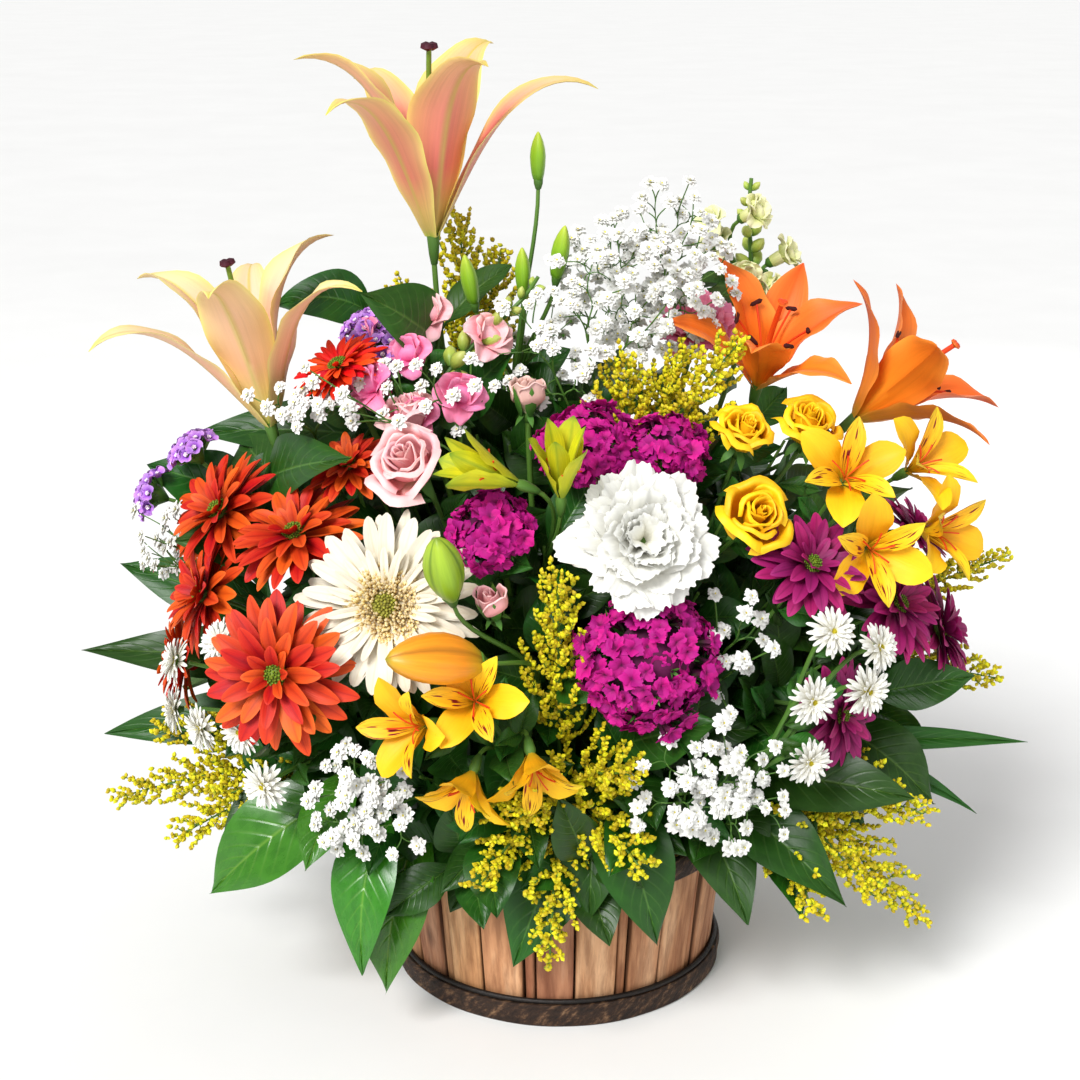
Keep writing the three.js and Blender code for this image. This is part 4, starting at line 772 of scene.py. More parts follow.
def snap(size, random, colour="petal"):
    """A floret with a puffed, half closed mouth: two lobes stand and three roll out below."""
    radius = size / 2
    lobes = []
    for angle, rise in ((52, (98, 50)), (128, (98, 50)), (196, (84, -20)), (270, (76, -44)),
                        (344, (84, -20)), (20, (92, 20)), (160, (92, 20))):
        form = petal(radius * 1.42, radius * 1.36, (rise[0], rise[1] + random.uniform(-14, 14)), 1.1,
                     WIDE_FAN, cup=0.4, crimp=radius * 0.09, crimps=random.uniform(1.6, 2.6),
                     frill=radius * 0.03, phase=random.uniform(0, 6), blunt=0.3, start=radius * 0.2,
                     thick=0.6, rows=10, columns=12, ease=0.6)
        lobes.append(form.moved(aimed((0, 0, 0), (0, 0, 1), math.radians(angle)), random.random()))
    lip = pod([(radius * 0.16, radius * 0.2), (radius * 0.5, radius * 0.42),
               (radius * 0.54, radius * 0.7), (radius * 0.36, radius * 0.96),
               (radius * 0.04, radius * 1.04)], 20, 2, 0.3)
    throat = pod([(radius * 0.2, -radius * 0.6), (radius * 0.36, -radius * 0.3),
                  (radius * 0.4, radius * 0.2), (radius * 0.36, radius * 0.4)], 10)
    return {colour: joined([*lobes, lip, throat]),
            "green": pod([(1, -radius * 0.75), (radius * 0.3, -radius * 0.6), (radius * 0.34, -radius * 0.4),
                          (radius * 0.1, -radius * 0.2)], 7)}


def snap_pale(size, random):
    return snap(size, random, "pink")


def statice(size, random):
    """A comb of papery funnels with a paler frill in each."""
    cup = whorl(5, lambda i: petal(size * 0.34, size * 0.3, (66, 20), 1, FAN, crimp=size * 0.04, blunt=0.1,
                                   teeth=0.14, start=size * 0.03, thick=0.4, rows=3, columns=5))
    stalk = pod([(size * 0.03, -size * 0.3), (size * 0.07, 0), (size * 0.05, size * 0.06)], 5)
    places = [aimed(d * vec(1, 1, 0.6) * size * 0.6 + vec(0, 0, size * 0.1), unit(d + vec(0, 0, 0.5)),
                    random.uniform(0, 6)) for d in spread_on_dome(17, 88, random, 0.3)]
    middle = whorl(5, lambda i: petal(size * 0.15, size * 0.1, (78, 50), 1, FAN, crimp=size * 0.02, blunt=0.2,
                                      thick=0.4, rows=2, columns=3), size * 0.06)
    return {"petal": cup.stamped(places, random),
            "eye_white": middle.stamped(places, random),
            "green": joined([stalk.stamped(places, random),
                             pod([(1, -size * 0.3), (size * 0.3, 0), (size * 0.34, size * 0.2),
                                  (0.1, size * 0.3)], 8)])}


KINDS = {kind.__name__: kind for kind in (
    lily, lily_small, bud, lily_bud, lily_bud_unripe, mum, button, gerbera, gerbera_small, carnation,
    carnation_small, umbel, umbel_small, rose, rosebud, bell, alstroemeria, snap, snap_pale, statice)}
# How far its twig ends below the heart of a flower: for an umbel, a share of its size.
NECKS = dict(lily=16, lily_small=14, bud=3, lily_bud=3, lily_bud_unripe=3, mum=12, button=8,
             gerbera=16, gerbera_small=14, carnation=20, carnation_small=18, rose=10, rosebud=8,
             bell=8, alstroemeria=8, snap=5, snap_pale=5, statice=4)
UMBEL_NECK = 0.3


# ---------------------------------------------------------------- stems and leaves
def foot_for(target):
    """Every stem's foot is in the foam, and points at one place on the axis."""
    out = np.asarray(target, float) - (0, 0, FOCUS["height"])
    flat = math.hypot(out[0], out[1])
    slope = max(math.atan2(out[2], flat), math.radians(FOCUS["slope"]))
    ahead = vec(out[0] / flat * math.cos(slope), out[1] / flat * math.cos(slope), math.sin(slope))
    return ahead * FOCUS["reach"] + (0, 0, FOCUS["height"])


def leaf(root, tip, arch, width, random, wave=1.0):
    """A folded and waved blade along an arch, with a stalk below it."""
    root, tip = np.asarray(root, float), np.asarray(tip, float)
    run = tip - root
    near = -1 if tip[1] < BACK_FROM else 1
    over = unit(vec(tip[0], tip[1], 0)) * 0.7 + (0, near * LEAF_LEAN, 1)
    up = unit(over - run * over.dot(run) / run.dot(run))
    path = bezier(root, (root + tip) / 2 + up * 2 * arch, tip, count=LEAF_STEPS + 1)
    begin = int(PETIOLE * LEAF_STEPS)
    blade_path = path[begin:]
    along = np.gradient(blade_path, axis=0)
    along /= np.linalg.norm(along, axis=1, keepdims=True)
    across = unit(np.cross(up, run))
    right = across - along * (along @ across)[:, None]
    right /= np.linalg.norm(right, axis=1, keepdims=True)
    normal = np.cross(along, right)
    s, w = grid(len(blade_path) - 1, 8)
    half = width / 2 * spindle(s, 0.04, 0.44, 0.004, 1.05)
    phase = random.uniform(0, 6)
    lift = 0.2 * half * np.abs(w) + wave * 1.6 * np.sin(9 * s + phase) * w * np.abs(w)
    lift = lift - 0.9 * np.exp(-((w / 0.14) ** 2))
    points = (blade_path[:, None] + right[:, None] * (half * w)[..., None]
              + normal[:, None] * lift[..., None])
    tint = random.random()
    stalk = tube(path[:begin + 2], np.linspace(1.1, 0.7, begin + 2), 5, tint=tint)
    return joined([shell(points, s, w, tint, 0.8), stalk])


def leaves_on(path, count, size, random, low=0.45, high=0.92):
    """Leaves of about that length on both sides of a stem, held up and outward."""
    leaves = []
    around = random.uniform(0, 6)
    for i in range(count):
        share = low + (high - low) * (i + random.uniform(0.2, 0.8)) / count
        k = min(int(share * (len(path) - 1)), len(path) - 2)
        root = path[k] + (path[k + 1] - path[k]) * (share * (len(path) - 1) - k)
        ahead = unit(path[k + 1] - path[k])
        side = unit(np.cross(ahead, (0.2, 0.1, 1)))
        other = np.cross(ahead, side)
        around += GOLDEN_ANGLE
        out = side * math.cos(around) + other * math.sin(around)
        long = size * random.uniform(0.75, 1.2)
        tip = root + (out * 0.84 + ahead * 0.55) * long
        leaves.append(leaf(root, tip, long * 0.1, long * random.uniform(0.42, 0.58), random))
    return joined(leaves)


def twig(start, ahead, end, facing, width=TWIG_RADIUS, sides=6):
    """A stalk that leaves in the direction ahead and ends under a flower's face."""
    far = np.linalg.norm(end - start)
    path = bezier(start, start + ahead * far * 0.34, end - facing * far * 0.3, end)
    return path, tube(path, np.linspace(width * 1.25, width, len(path)), sides)


# ---------------------------------------------------------------- plants
# Leaves on the stem below a kind of flower, and their length.
LEAFY = dict(lily=(7, 74), lily_small=(6, 60), mum=(5, 46), button=(5, 34), rose=(5, 40),
             alstroemeria=(4, 44), umbel=(5, 44), umbel_small=(4, 40), snap=(4, 36),
             carnation=(4, 40))


def gather(parts, more, matrix=None):
    """Adds more, moved by the matrix, to the lists of forms in parts."""
    for material, form in more.items():
        parts.setdefault(material, []).append(form if matrix is None else form.moved(matrix))


def spire(head, start, ahead, random):
    """A tall tip with buds on all sides, smaller towards its end."""
    length, x, y, z, azimuth, elevation = head[1:]
    tip = vec(x, y, z) + direction(azimuth, elevation) * length * 0.5
    path, stem = twig(start, ahead, tip, direction(azimuth, elevation))
    one = pod([(0.1, 0), (0.28, 0.25), (0.34, 0.55), (0.22, 0.85), (0.03, 1.05)], 8)
    buds = []
    for i in range(SPIRE_BUDS):
        share = 0.34 + 0.64 * i / (SPIRE_BUDS - 1)
        k = int(share * (len(path) - 1))
        out = aimed((0, 0, 0), path[k] - path[k - 1])[:3, :3] @ vec(
            math.cos(i * GOLDEN_ANGLE), math.sin(i * GOLDEN_ANGLE), 1.1)
        size = 14 - 8 * i / (SPIRE_BUDS - 1)
        buds.append(one.moved(aimed(path[k] + out * 1.2, out, 0, size), random.random()))
    return {"bud_small": joined(buds), "green": stem}


def stalk_to(joint, radius):
    """The straight stem from the foam to where a plant divides."""
    foot = foot_for(joint)
    return tube(bezier(foot, joint * 0.5 + foot * 0.5, joint), radius, 6)


def plant(name, plan):
    """A cut stem with its heads, and leaves where its kind has them."""
    random = Random(name)
    own = {"phase": plan["phase"]} if "phase" in plan else {}
    parts = {}
    places = []
    for kind, size, x, y, z, azimuth, elevation in plan["heads"]:
        neck = NECKS.get(kind, size * UMBEL_NECK if "umbel" in kind else 0)
        facing = direction(azimuth, elevation)
        places.append((vec(x, y, z), facing, vec(x, y, z) - facing * neck))
    joint = plan.get("joint")
    top = np.asarray(joint if joint else places[0][2], float)
    foot = foot_for(top)
    ahead = unit(top - foot)
    trunk = bezier(foot, foot * 0.5 + top * 0.5, top)
    if not joint:
        trunk, stem = twig(foot, ahead, top, places[0][1], STEMS["single"], 8)
        gather(parts, {"green": stem})
    else:
        gather(parts, {"green": tube(trunk, np.linspace(*STEMS["branching"], len(trunk)), 8)})
    for head, (heart, facing, base) in zip(plan["heads"], places):
        kind, size = head[:2]
        if kind == "spire":
            gather(parts, spire(head, top, ahead, random))
            continue
        gather(parts, KINDS[kind](size, random, **own), aimed(heart, facing))
        if joint:
            path, stem = twig(top, ahead, base, facing)
            gather(parts, {"green": stem})
            if kind in LEAFY:
                gather(parts, {"leaf_soft": leaves_on(path, 2, LEAFY[kind][1] * 0.7, random, 0.2,
                                                      0.8)})
    count, size = LEAFY.get(plan["heads"][0][0], (0, 0))
    if count:
        gather(parts, {"leaf_soft": leaves_on(trunk, count, size, random)})
    return parts


# ---------------------------------------------------------------- clouds and plumes
def gypsophila_floret(random):
    """A double white flower of narrow notched petals, in a small green cup."""
    rows = [whorl(n, lambda i: petal(r * random.uniform(0.86, 1.1), r * 0.56, rise, 1, FAN,
                                     cup=0.2, crimp=0.25, crimps=2, phase=random.uniform(0, 6),
                                     blunt=0.2, teeth=0.2, twist=random.uniform(-24, 24), thick=0.3,
                                     rows=3, columns=4),
                  h, t, 0.5, random)
            for n, r, rise, h, t in ((8, 5.9, (14, -26), 0, 0), (7, 5.0, (38, -6), 0.5, 0.5),
                                     (5, 3.6, (66, 20), 1.0, 1))]
    return {"gypsophila": joined(rows),
            "eye_yellow": pod([(0.3, 0.4), (0.8, 1.2), (0.7, 2), (0.1, 2.6)], 5),
            "green": pod([(0.3, -2), (1, -1), (0.9, 0.3)], 5)}


def branched(start, ahead, ends, width):
    """Fine twigs that part in two until each has one end."""
    middle = ends.mean(0)
    if len(ends) == 1:
        return [twig(start, ahead, ends[0], unit(ends[0] - start), width, 4)[1]]
    fork = start + (middle - start) * 0.4
    onward = unit(fork - start)
    away = ends - middle
    order = np.argsort(away @ np.linalg.svd(away)[2][0])
    half = len(ends) // 2
    forms = [tube(bezier(start, start + ahead * np.linalg.norm(fork - start) * 0.5, fork, count=4),
                  width, 4)]
    for group in (order[:half], order[half:]):
        forms += branched(fork, onward, ends[group], max(width * 0.82, 0.32))
    return forms


def cloud(name, plan):
    """Gypsophila: florets spread through an ellipsoid, on twigs that part from one joint."""
    random = Random(name)
    joint, centre, reach = (np.asarray(plan[k], float) for k in ("joint", "centre", "reach"))
    count = plan["florets"]
    ends = []
    for i in range(count):
        high = 1 - 2 * (i + 0.5) / count
        flat = math.sqrt(1 - high * high)
        far = random.uniform(0.12, 1.22) ** 0.6
        spot = centre + reach * far * vec(flat * math.cos(i * GOLDEN_ANGLE),
                                          flat * math.sin(i * GOLDEN_ANGLE), high)
        ends.append(spot + vec(*(random.uniform(-6, 6) for _ in range(3))))
    ends = np.array(ends)
    parts = {"green": [stalk_to(joint, STEMS["cloud"]),
                       *branched(joint, unit(centre - joint), ends, 1.0)]}
    floret = gypsophila_floret(random)
    outward = vec(centre[0] * 0.2, 40 if centre[1] > BACK_FROM else -40, 16)
    places = [aimed(end, unit(end - joint) * 30 + random.uniform(0.3, 1.6) * outward,
                    random.uniform(0, 6), random.uniform(0.74, 1.08)) for end in ends]
    gather(parts, {key: form.stamped(places, random) for key, form in floret.items()})
    return parts


def plume(joint, tip, random):
    """A branch of goldenrod: twiglets along it, each set with tiny flowers."""
    length = np.linalg.norm(tip - joint)
    control = (joint + tip) / 2 + vec(0, 0, 0.1 * length)
    path = bezier(joint, control, tip, count=PLUME_STEPS + 1)
    stems = [tube(path[::3], np.linspace(1.3, 0.5, len(path[::3])), 5)]
    bead = pod([(0.3, 0), (1.2, 0.9), (1.3, 2.2), (0.1, 3.6)], 5)
    places = []
    count = max(int(length * 0.8 / 2.3), 14)
    for i in range(count):
        share = 0.2 + 0.8 * i / count
        k = min(int(share * PLUME_STEPS), PLUME_STEPS - 1)
        ahead = unit(path[k + 1] - path[k])
        turn = i * GOLDEN_ANGLE
        out = aimed((0, 0, 0), ahead)[:3, :3] @ vec(math.cos(turn), math.sin(turn), 0)
        long = (7 + 33 * (1 - share) ** 0.8) * random.uniform(0.6, 1.15)
        start = path[k]
        end = start + (out * 0.72 + ahead * 0.7 + vec(0, 0, 0.14)) * long
        twiglet = bezier(start, start + out * long * 0.55 + ahead * long * 0.1, end,
                         count=max(int(long / 1.7), 3))
        stems.append(tube(twiglet[::2], 0.4, 3))
        for point in twiglet[1:]:
            for _ in range(2):
                lean = unit(ahead * 0.5 + vec(random.uniform(-1, 1), random.uniform(-1, 1),
                                              random.uniform(-0.3, 1)))
                places.append(aimed(point, lean, 0, random.uniform(0.7, 1.15)))
    return {"goldenrod": bead.stamped(places, random), "green": joined(stems)}


def goldenrod(name, plan):
    random = Random(name)
    joint = np.asarray(plan["joint"], float)
    parts = {"green": [stalk_to(joint, STEMS["plume"])]}
    for tip in plan["branches"]:
        gather(parts, plume(joint, vec(*tip), random))
    return parts


# ---------------------------------------------------------------- leafy stems
def sprig(name, plan):
    """A stem with large leaves, each one's tip where the plan puts it."""
    random = Random(name)
    end = np.asarray(plan["end"], float)
    foot = foot_for(end)
    radii = np.linspace(*STEMS["sprig"], PATH_STEPS)
    parts = {"green": [tube(bezier(foot, (foot + end) / 2, end), radii, 7)]}
    material = "leaf_bright" if name in BRIGHT_LEAVES else "leaf"
    blades = [leaf(foot + (end - foot) * share, (x, y, z), arch, width, random,
                   wave=0.3 if width < GRASS_WIDTH else 1.3)
              for share, x, y, z, arch, width in plan["leaves"]]
    gather(parts, {material: joined(blades)})
    return parts


def filler(name, plan):
    """Leafy stems that close the gaps between the flowers. Their leaves take the darkest leaf colour, partly
    as painted shade deep between the flowers.
    """
    random = Random(name)
    parts = {}
    for d in spread_on_dome(plan["count"], plan["cap"], random, 0.2):
        end = np.asarray(plan["centre"]) + d * plan["reach"] * random.uniform(0.86, 1.04)
        foot = foot_for(end)
        path = bezier(foot, (foot + end) / 2 + (0, 0, 10), end)
        gather(parts, {"green": tube(path, np.linspace(*STEMS["filler"], PATH_STEPS), 6),
                       "leaf": leaves_on(path, plan["leaves"], plan["size"], random,
                                         plan["low"], 1.0)})
    return parts


# ---------------------------------------------------------------- the basket
def stave_radius(height):
    widen = BASKET["rim_radius"] - BASKET["base_radius"]
    return BASKET["base_radius"] + widen * height / BASKET["height"]


def board(first, last, depth, rounded, random):
    """One upright board of the wall between two angles, with eased edges and a rough top."""
    heights = np.concatenate([[0, 1], np.linspace(8, BASKET["height"] - 3, 8),
                              [BASKET["height"] - 1, BASKET["height"]]])
    ease = 0.9 / BASKET["base_radius"]
    turns = np.array([first, first + ease * 0.35, first + ease, *np.linspace(
        first + 2 * ease, last - 2 * ease, 5), last - ease, last - ease * 0.35, last])
    share = np.linspace(-1, 1, len(turns))
    bulge = rounded * (1 - share ** 2)
    sunk = np.where(np.abs(share) > 0.99, 1.5, np.where(np.abs(share) > 0.79, 0.5, 0.0))
    tint, warp, rings, marks = random.random(), random.uniform(0, 6), [], []
    drop = random.uniform(0, 1.2)
    for row, height in enumerate(heights):
        inset = 0.8 if row in (0, len(heights) - 1) else 0.0
        level = height - drop if row >= len(heights) - 2 else height
        wave = 0.35 * math.sin(height * 0.06 + warp)
        outer = stave_radius(height) - depth - sunk - inset + bulge + wave
        inner = stave_radius(height) - BASKET["wall"] + inset
        ring = [vec(r * math.cos(a), r * math.sin(a), level) for a, r in zip(turns, outer)]
        ring += [vec(inner * math.cos(a), inner * math.sin(a), level) for a in (last, first)]
        rings.append(ring)
        marks.append([(height / BASKET["height"], (x + 1) / 2, tint, 0.0)
                      for x in (*share, 1, -1)])
    return lofted(np.array(rings), np.array(marks))


def stave_wall():
    random = Random("staves")
    stretch = 2 * math.pi / STRETCHES
    stave = stretch * (1 - BATTEN_SHARE) / 2
    seam = 0.5 / BASKET["base_radius"]
    staves, battens = [], []
    for i in range(STRETCHES):
        start = i * stretch
        split = start + stave * random.uniform(0.9, 1.1)
        staves.append(board(start + seam, split - seam, 0, 0.4, random))
        staves.append(board(split + seam, start + 2 * stave - seam, random.uniform(0, 0.7), 0.4,
                            random))
        battens.append(board(start + 2 * stave + seam, start + stretch - seam, 3.0, 1.3, random))
    return {"wood": joined(staves), "batten": joined(battens)}


def hoop(profile, wobble, random):
    """A band round the basket, swept from (radius, height) points given counter-clockwise."""
    phase = random.uniform(0, 6)
    rings, marks = [], []
    for i in range(HOOP_SIDES):
        a = -2 * math.pi * i / HOOP_SIDES
        uneven = wobble * (math.sin(5 * a + phase) + 0.6 * math.sin(13 * a + 2 * phase))
        ring = []
        for k, (r, z) in enumerate(profile):
            out = r + uneven * (k > 0)
            ring.append(vec(out * math.cos(a), out * math.sin(a), z + (uneven * 0.8 if z > 2 else 0)))
        rings.append(ring)
        marks.append([(i / HOOP_SIDES, k / (len(profile) - 1), 0.5, 0.0)
                      for k in range(len(profile))])
    return lofted(np.array(rings), np.array(marks), loop=True)


def base_hoop():
    random = Random("base hoop")
    height, depth = BASE_HOOP["height"], BASE_HOOP["depth"]
    low, high = stave_radius(0) + 0.5, stave_radius(height) + 0.5
    bark = [(low, 0), (low + depth * 0.8, 0), (low + depth, 1.2), (low + depth + 0.2, height * 0.4),
            (high + depth - 0.4, height * 0.8), (high + depth - 1.4, height), (high, height)]
    rod_height, rod = height + 1.6, 1.6
    rod_centre = stave_radius(rod_height) + 2.4
    turns = np.arange(8) * math.pi / 4 + math.pi
    round_rod = [(rod_centre + rod * math.cos(t), rod_height + rod * math.sin(t)) for t in turns]
    return {"bark": hoop(bark, 0.25, random), "iron": hoop(round_rod, 0.12, random)}


def rim_hoop():
    random = Random("rim hoop")
    low, high, depth = RIM_HOOP["low"], RIM_HOOP["high"], RIM_HOOP["depth"]
    inner, outer = stave_radius(low) + 0.5, stave_radius(high) + 0.5
    bark = [(inner, low), (inner + depth * 0.7, low), (inner + depth, low + 1.2),
            ((inner + outer) / 2 + depth + 0.3, (low + high) / 2), (outer + depth, high - 1.2),
            (outer + depth * 0.6, high), (outer, high)]
    return {"bark": hoop(bark, 0.2, random)}


# ---------------------------------------------------------------- materials
def linear(hex_colour):
    """The linear colour of a hexadecimal one."""
    values = [int(hex_colour[i:i + 2], 16) / 255 for i in (0, 2, 4)]
    return (*[v / 12.92 if v < 0.04045 else ((v + 0.055) / 1.055) ** 2.4 for v in values], 1)


class Value:
    """A number that nodes work out. Arithmetic on it adds Math nodes."""

    def __init__(self, shader, socket):
        self.shader, self.socket = shader, socket

    def __add__(self, other):
        return self.shader.math("ADD", self, other)

    def __sub__(self, other):
        return self.shader.math("SUBTRACT", self, other)

    def __rsub__(self, other):
        return self.shader.math("SUBTRACT", other, self)

    def __mul__(self, other):
        return self.shader.math("MULTIPLY", self, other)

    def __pow__(self, other):
        return self.shader.math("POWER", self, other)

    def __abs__(self):
        return self.shader.math("ABSOLUTE", self)


class Shader:
    """A material and its node tree."""

    def __init__(self, name, **settings):
        self.material = bpy.data.materials.new(name)
        self.material.use_nodes = True
        self.tree = self.material.node_tree
        self.surface = self.tree.nodes["Principled BSDF"]
        for socket, value in settings.items():
            self.surface.inputs[socket.replace("_", " ")].default_value = value

    def node(self, kind, inputs=(), **settings):
        made = self.tree.nodes.new("ShaderNode" + kind)
        for key, value in settings.items():
            setattr(made, key, value)
        for socket, value in dict(inputs).items():
            self.put(made.inputs[socket], value)
        return made

    def put(self, socket, value):
        if isinstance(value, Value):
            value = value.socket
        if isinstance(value, bpy.types.NodeSocket):
            self.tree.links.new(value, socket)
        else:
            socket.default_value = value

    def finish(self, colour, relief, strength, distance, roughness=None):
        """The finished material, from its colour, its bumps and its roughness."""
        self.put(self.surface.inputs["Base Color"], colour)
        if roughness is not None:
            self.put(self.surface.inputs["Roughness"], roughness)
        bump = self.node("Bump", {"Height": relief, "Strength": strength, "Distance": distance})
        self.put(self.surface.inputs["Normal"], bump.outputs["Normal"])
        return self.material

    def math(self, operation, a, b=0.5, clamp=False):
        made = self.node("Math", {0: a, 1: b}, operation=operation, use_clamp=clamp)
        return Value(self, made.outputs[0])

    def faded(self, value):
        """1 where the value is 0, and 0 where it is 1 or more."""
        return self.math("SUBTRACT", 1.0, value, clamp=True)

    def mix(self, factor, a, b):
        """Colour a with so much of b, which may be a hexadecimal colour."""
        made = self.node("Mix", data_type="RGBA", blend_type="MIX")
        for index, value in ((0, factor), (6, a), (7, b)):
            self.put(made.inputs[index], linear(value) if isinstance(value, str) else value)
        return made.outputs[2]

    def toned(self, colour, hue, value):
        return self.node("HueSaturation", {"Hue": hue, "Value": value,
                                           "Color": colour}).outputs["Color"]

    def ramp(self, factor, stops):
        made = self.node("ValToRGB", {"Fac": factor})
        elements = made.color_ramp.elements
        while len(elements) < len(stops):
            elements.new(0.5)
        for element, (place, colour) in zip(elements, stops):
            element.position = place
            element.color = linear(colour)
        return made.outputs["Color"]

    def point(self, x, y, z=0.0):
        return self.node("CombineXYZ", {"X": x, "Y": y, "Z": z}).outputs[0]

    def scaled(self, vector, scale):
        return self.node("Mapping", {"Vector": vector, "Scale": scale}).outputs[0]

    def noise(self, vector, scale, detail, rough=0.55):
        made = self.node("TexNoise", {"Vector": vector, "Scale": scale, "Detail": detail,
                                      "Roughness": rough})
        return Value(self, made.outputs["Fac"])

    def blade(self):
        """Along, across, tint and underside of the blade."""
        mark = self.node("Attribute", attribute_name="blade", attribute_type="GEOMETRY")
        parts = self.node("SeparateColor", {"Color": mark.outputs["Color"]})
        return [Value(self, socket) for socket in (*parts.outputs[:3], mark.outputs["Alpha"])]


def petal_material(name, stops, margin=None, rib=None, veins=0.25, fine=16, vary=0.25, hue=0.02,
                   spots=None, seams=None, under=0.88, under_tone=None, **settings):
    """stops: colours from root to tip. margin, rib and seams: (colour, amount, how narrow). spots:
    (colour, how dense, threshold). under: how light the underside is. under_tone: (colour, amount).
    """
    shader = Shader(name, **{"Roughness": 0.55, "Specular_IOR_Level": 0.35, **settings})
    along, across, tint, underside = shader.blade()
    colour = shader.ramp(along, stops)
    side = abs(across - 0.5) * 2
    if margin:
        tone, amount, power = margin
        colour = shader.mix(side ** power * amount, colour, tone)
    if rib:
        tone, amount, narrow = rib
        colour = shader.mix(shader.faded(side * narrow) * amount, colour, tone)
    if seams:
        tone, amount, narrow = seams
        off = abs(shader.math("FRACT", across * 3.0) - 0.5)
        colour = shader.mix(shader.faded(off * narrow) * amount, colour, tone)
    if under_tone:
        tone, amount = under_tone
        colour = shader.mix(underside * amount, colour, tone)
    place = shader.point(across * float(fine), along * 2.2, tint * 60.0)
    vein = shader.noise(place, 1.0, 3)
    if spots:
        tone, scale, share = spots
        freckle = shader.noise(place, scale, 0.0, 0.5)
        sharp = shader.math("MULTIPLY", freckle - share, 14.0, clamp=True)
        colour = shader.mix(sharp, colour, tone)
    shade = vein * (2 * veins) + (1 - veins) + (tint - 0.5) * vary
    shade = shade * (1.0 - underside * (1 - under))
    return shader.finish(shader.toned(colour, (tint - 0.5) * hue + 0.5, shade), vein, 0.35, 0.0006)


def leaf_material(name, dark, light, vein_tone, roughness, gloss):
    """A leaf with a pale rib, side veins and a dull, paler underside."""
    shader = Shader(name, Specular_IOR_Level=gloss)
    along, across, tint, underside = shader.blade()
    side = abs(across - 0.5) * 2
    mottle = shader.noise(shader.point(side * 3.0, along * 9.0, tint * 40.0), 1.3, 5)
    wave = abs(shader.math("FRACT", along * 11.0 - side * 2.4) - 0.5)
    vein = shader.faded(wave * 7.0) * shader.faded(side)
    rib = shader.faded(side * 16.0)
    colour = shader.mix(mottle, dark, light)
    colour = shader.mix(vein * 0.28, colour, vein_tone)
    colour = shader.mix(rib * 0.6, colour, vein_tone)
    colour = shader.mix(underside * 0.45, colour, "6f8f55")
    return shader.finish(shader.toned(colour, tint * 0.03 + 0.485, tint * 0.5 + 0.75),
                         mottle * 0.5 - (vein + rib), 0.4, 0.0007,
                         mottle * 0.16 + roughness + underside * 0.2)


def wood_material(name, stops, streak):
    """Upright grain with dark streaks and a few knots."""
    shader = Shader(name, Specular_IOR_Level=0.3)
    along, across, tint, _ = shader.blade()
    moved = shader.node("VectorMath", {
        0: shader.node("TexCoord").outputs["Object"], 1: shader.point(tint, tint, tint * 3.0)},
        operation="ADD").outputs[0]
    fine = shader.noise(shader.scaled(moved, (260, 260, 13)), 1.0, 8, 0.65)
    broad = shader.noise(shader.scaled(moved, (60, 60, 5)), 1.0, 5, 0.6)
    knots = shader.node("TexVoronoi", {"Vector": shader.scaled(moved, (34, 34, 17)), "Scale": 1.0})
    knot = shader.faded(Value(shader, knots.outputs["Distance"]) * 5.5)
    lines = Value(shader, shader.ramp(fine, [(0.42, "000000"), (0.62, "ffffff")]))
    colour = shader.mix(lines * 0.5, shader.ramp(broad, stops), streak)
    colour = shader.mix(knot * 0.8, colour, "4a2a18")
    colour = shader.mix(shader.faded(along * 4.0) * 0.35, colour, "3a2416")
    colour = shader.mix((abs(across - 0.5) * 2) ** 9.0 * 0.7, colour, "2a1a10")
    return shader.finish(shader.toned(colour, tint * 0.02 + 0.49, tint * 0.5 + 0.76),
                         broad - fine, 0.55, 0.0012, fine * 0.25 + 0.5)


def bark_material(name):
    """Dark bark with slanting pale streaks round the hoop."""
    shader = Shader(name, Specular_IOR_Level=0.3)
    along, across, _, _ = shader.blade()
    streak = shader.noise(shader.point(along * 90.0 + across * 3.0, across * 3.0), 1.2, 6, 0.7)
    rough = shader.noise(shader.node("TexCoord").outputs["Object"], 420.0, 6, 0.7)
    colour = shader.ramp(streak, [(0.36, "1b110b"), (0.52, "3c281b"), (0.62, "7a5a40"),
                                  (0.7, "a98863")])
    return shader.finish(shader.mix(rough * 0.6, colour, "20140d"), streak + rough, 0.8, 0.0015,
                         rough * 0.3 + 0.5)


def rough_material(name, stops, scale, roughness, distance, **settings):
    """A plain stuff with a mottled colour and a grainy surface."""
    shader = Shader(name, **settings)
    place = shader.node("TexCoord").outputs["Object"]
    mottle = shader.noise(place, scale, 6, 0.65)
    grain = shader.noise(place, scale * 4, 3)
    return shader.finish(shader.ramp(mottle, stops), mottle + grain, 0.6, distance,
                         grain * 0.2 + roughness)


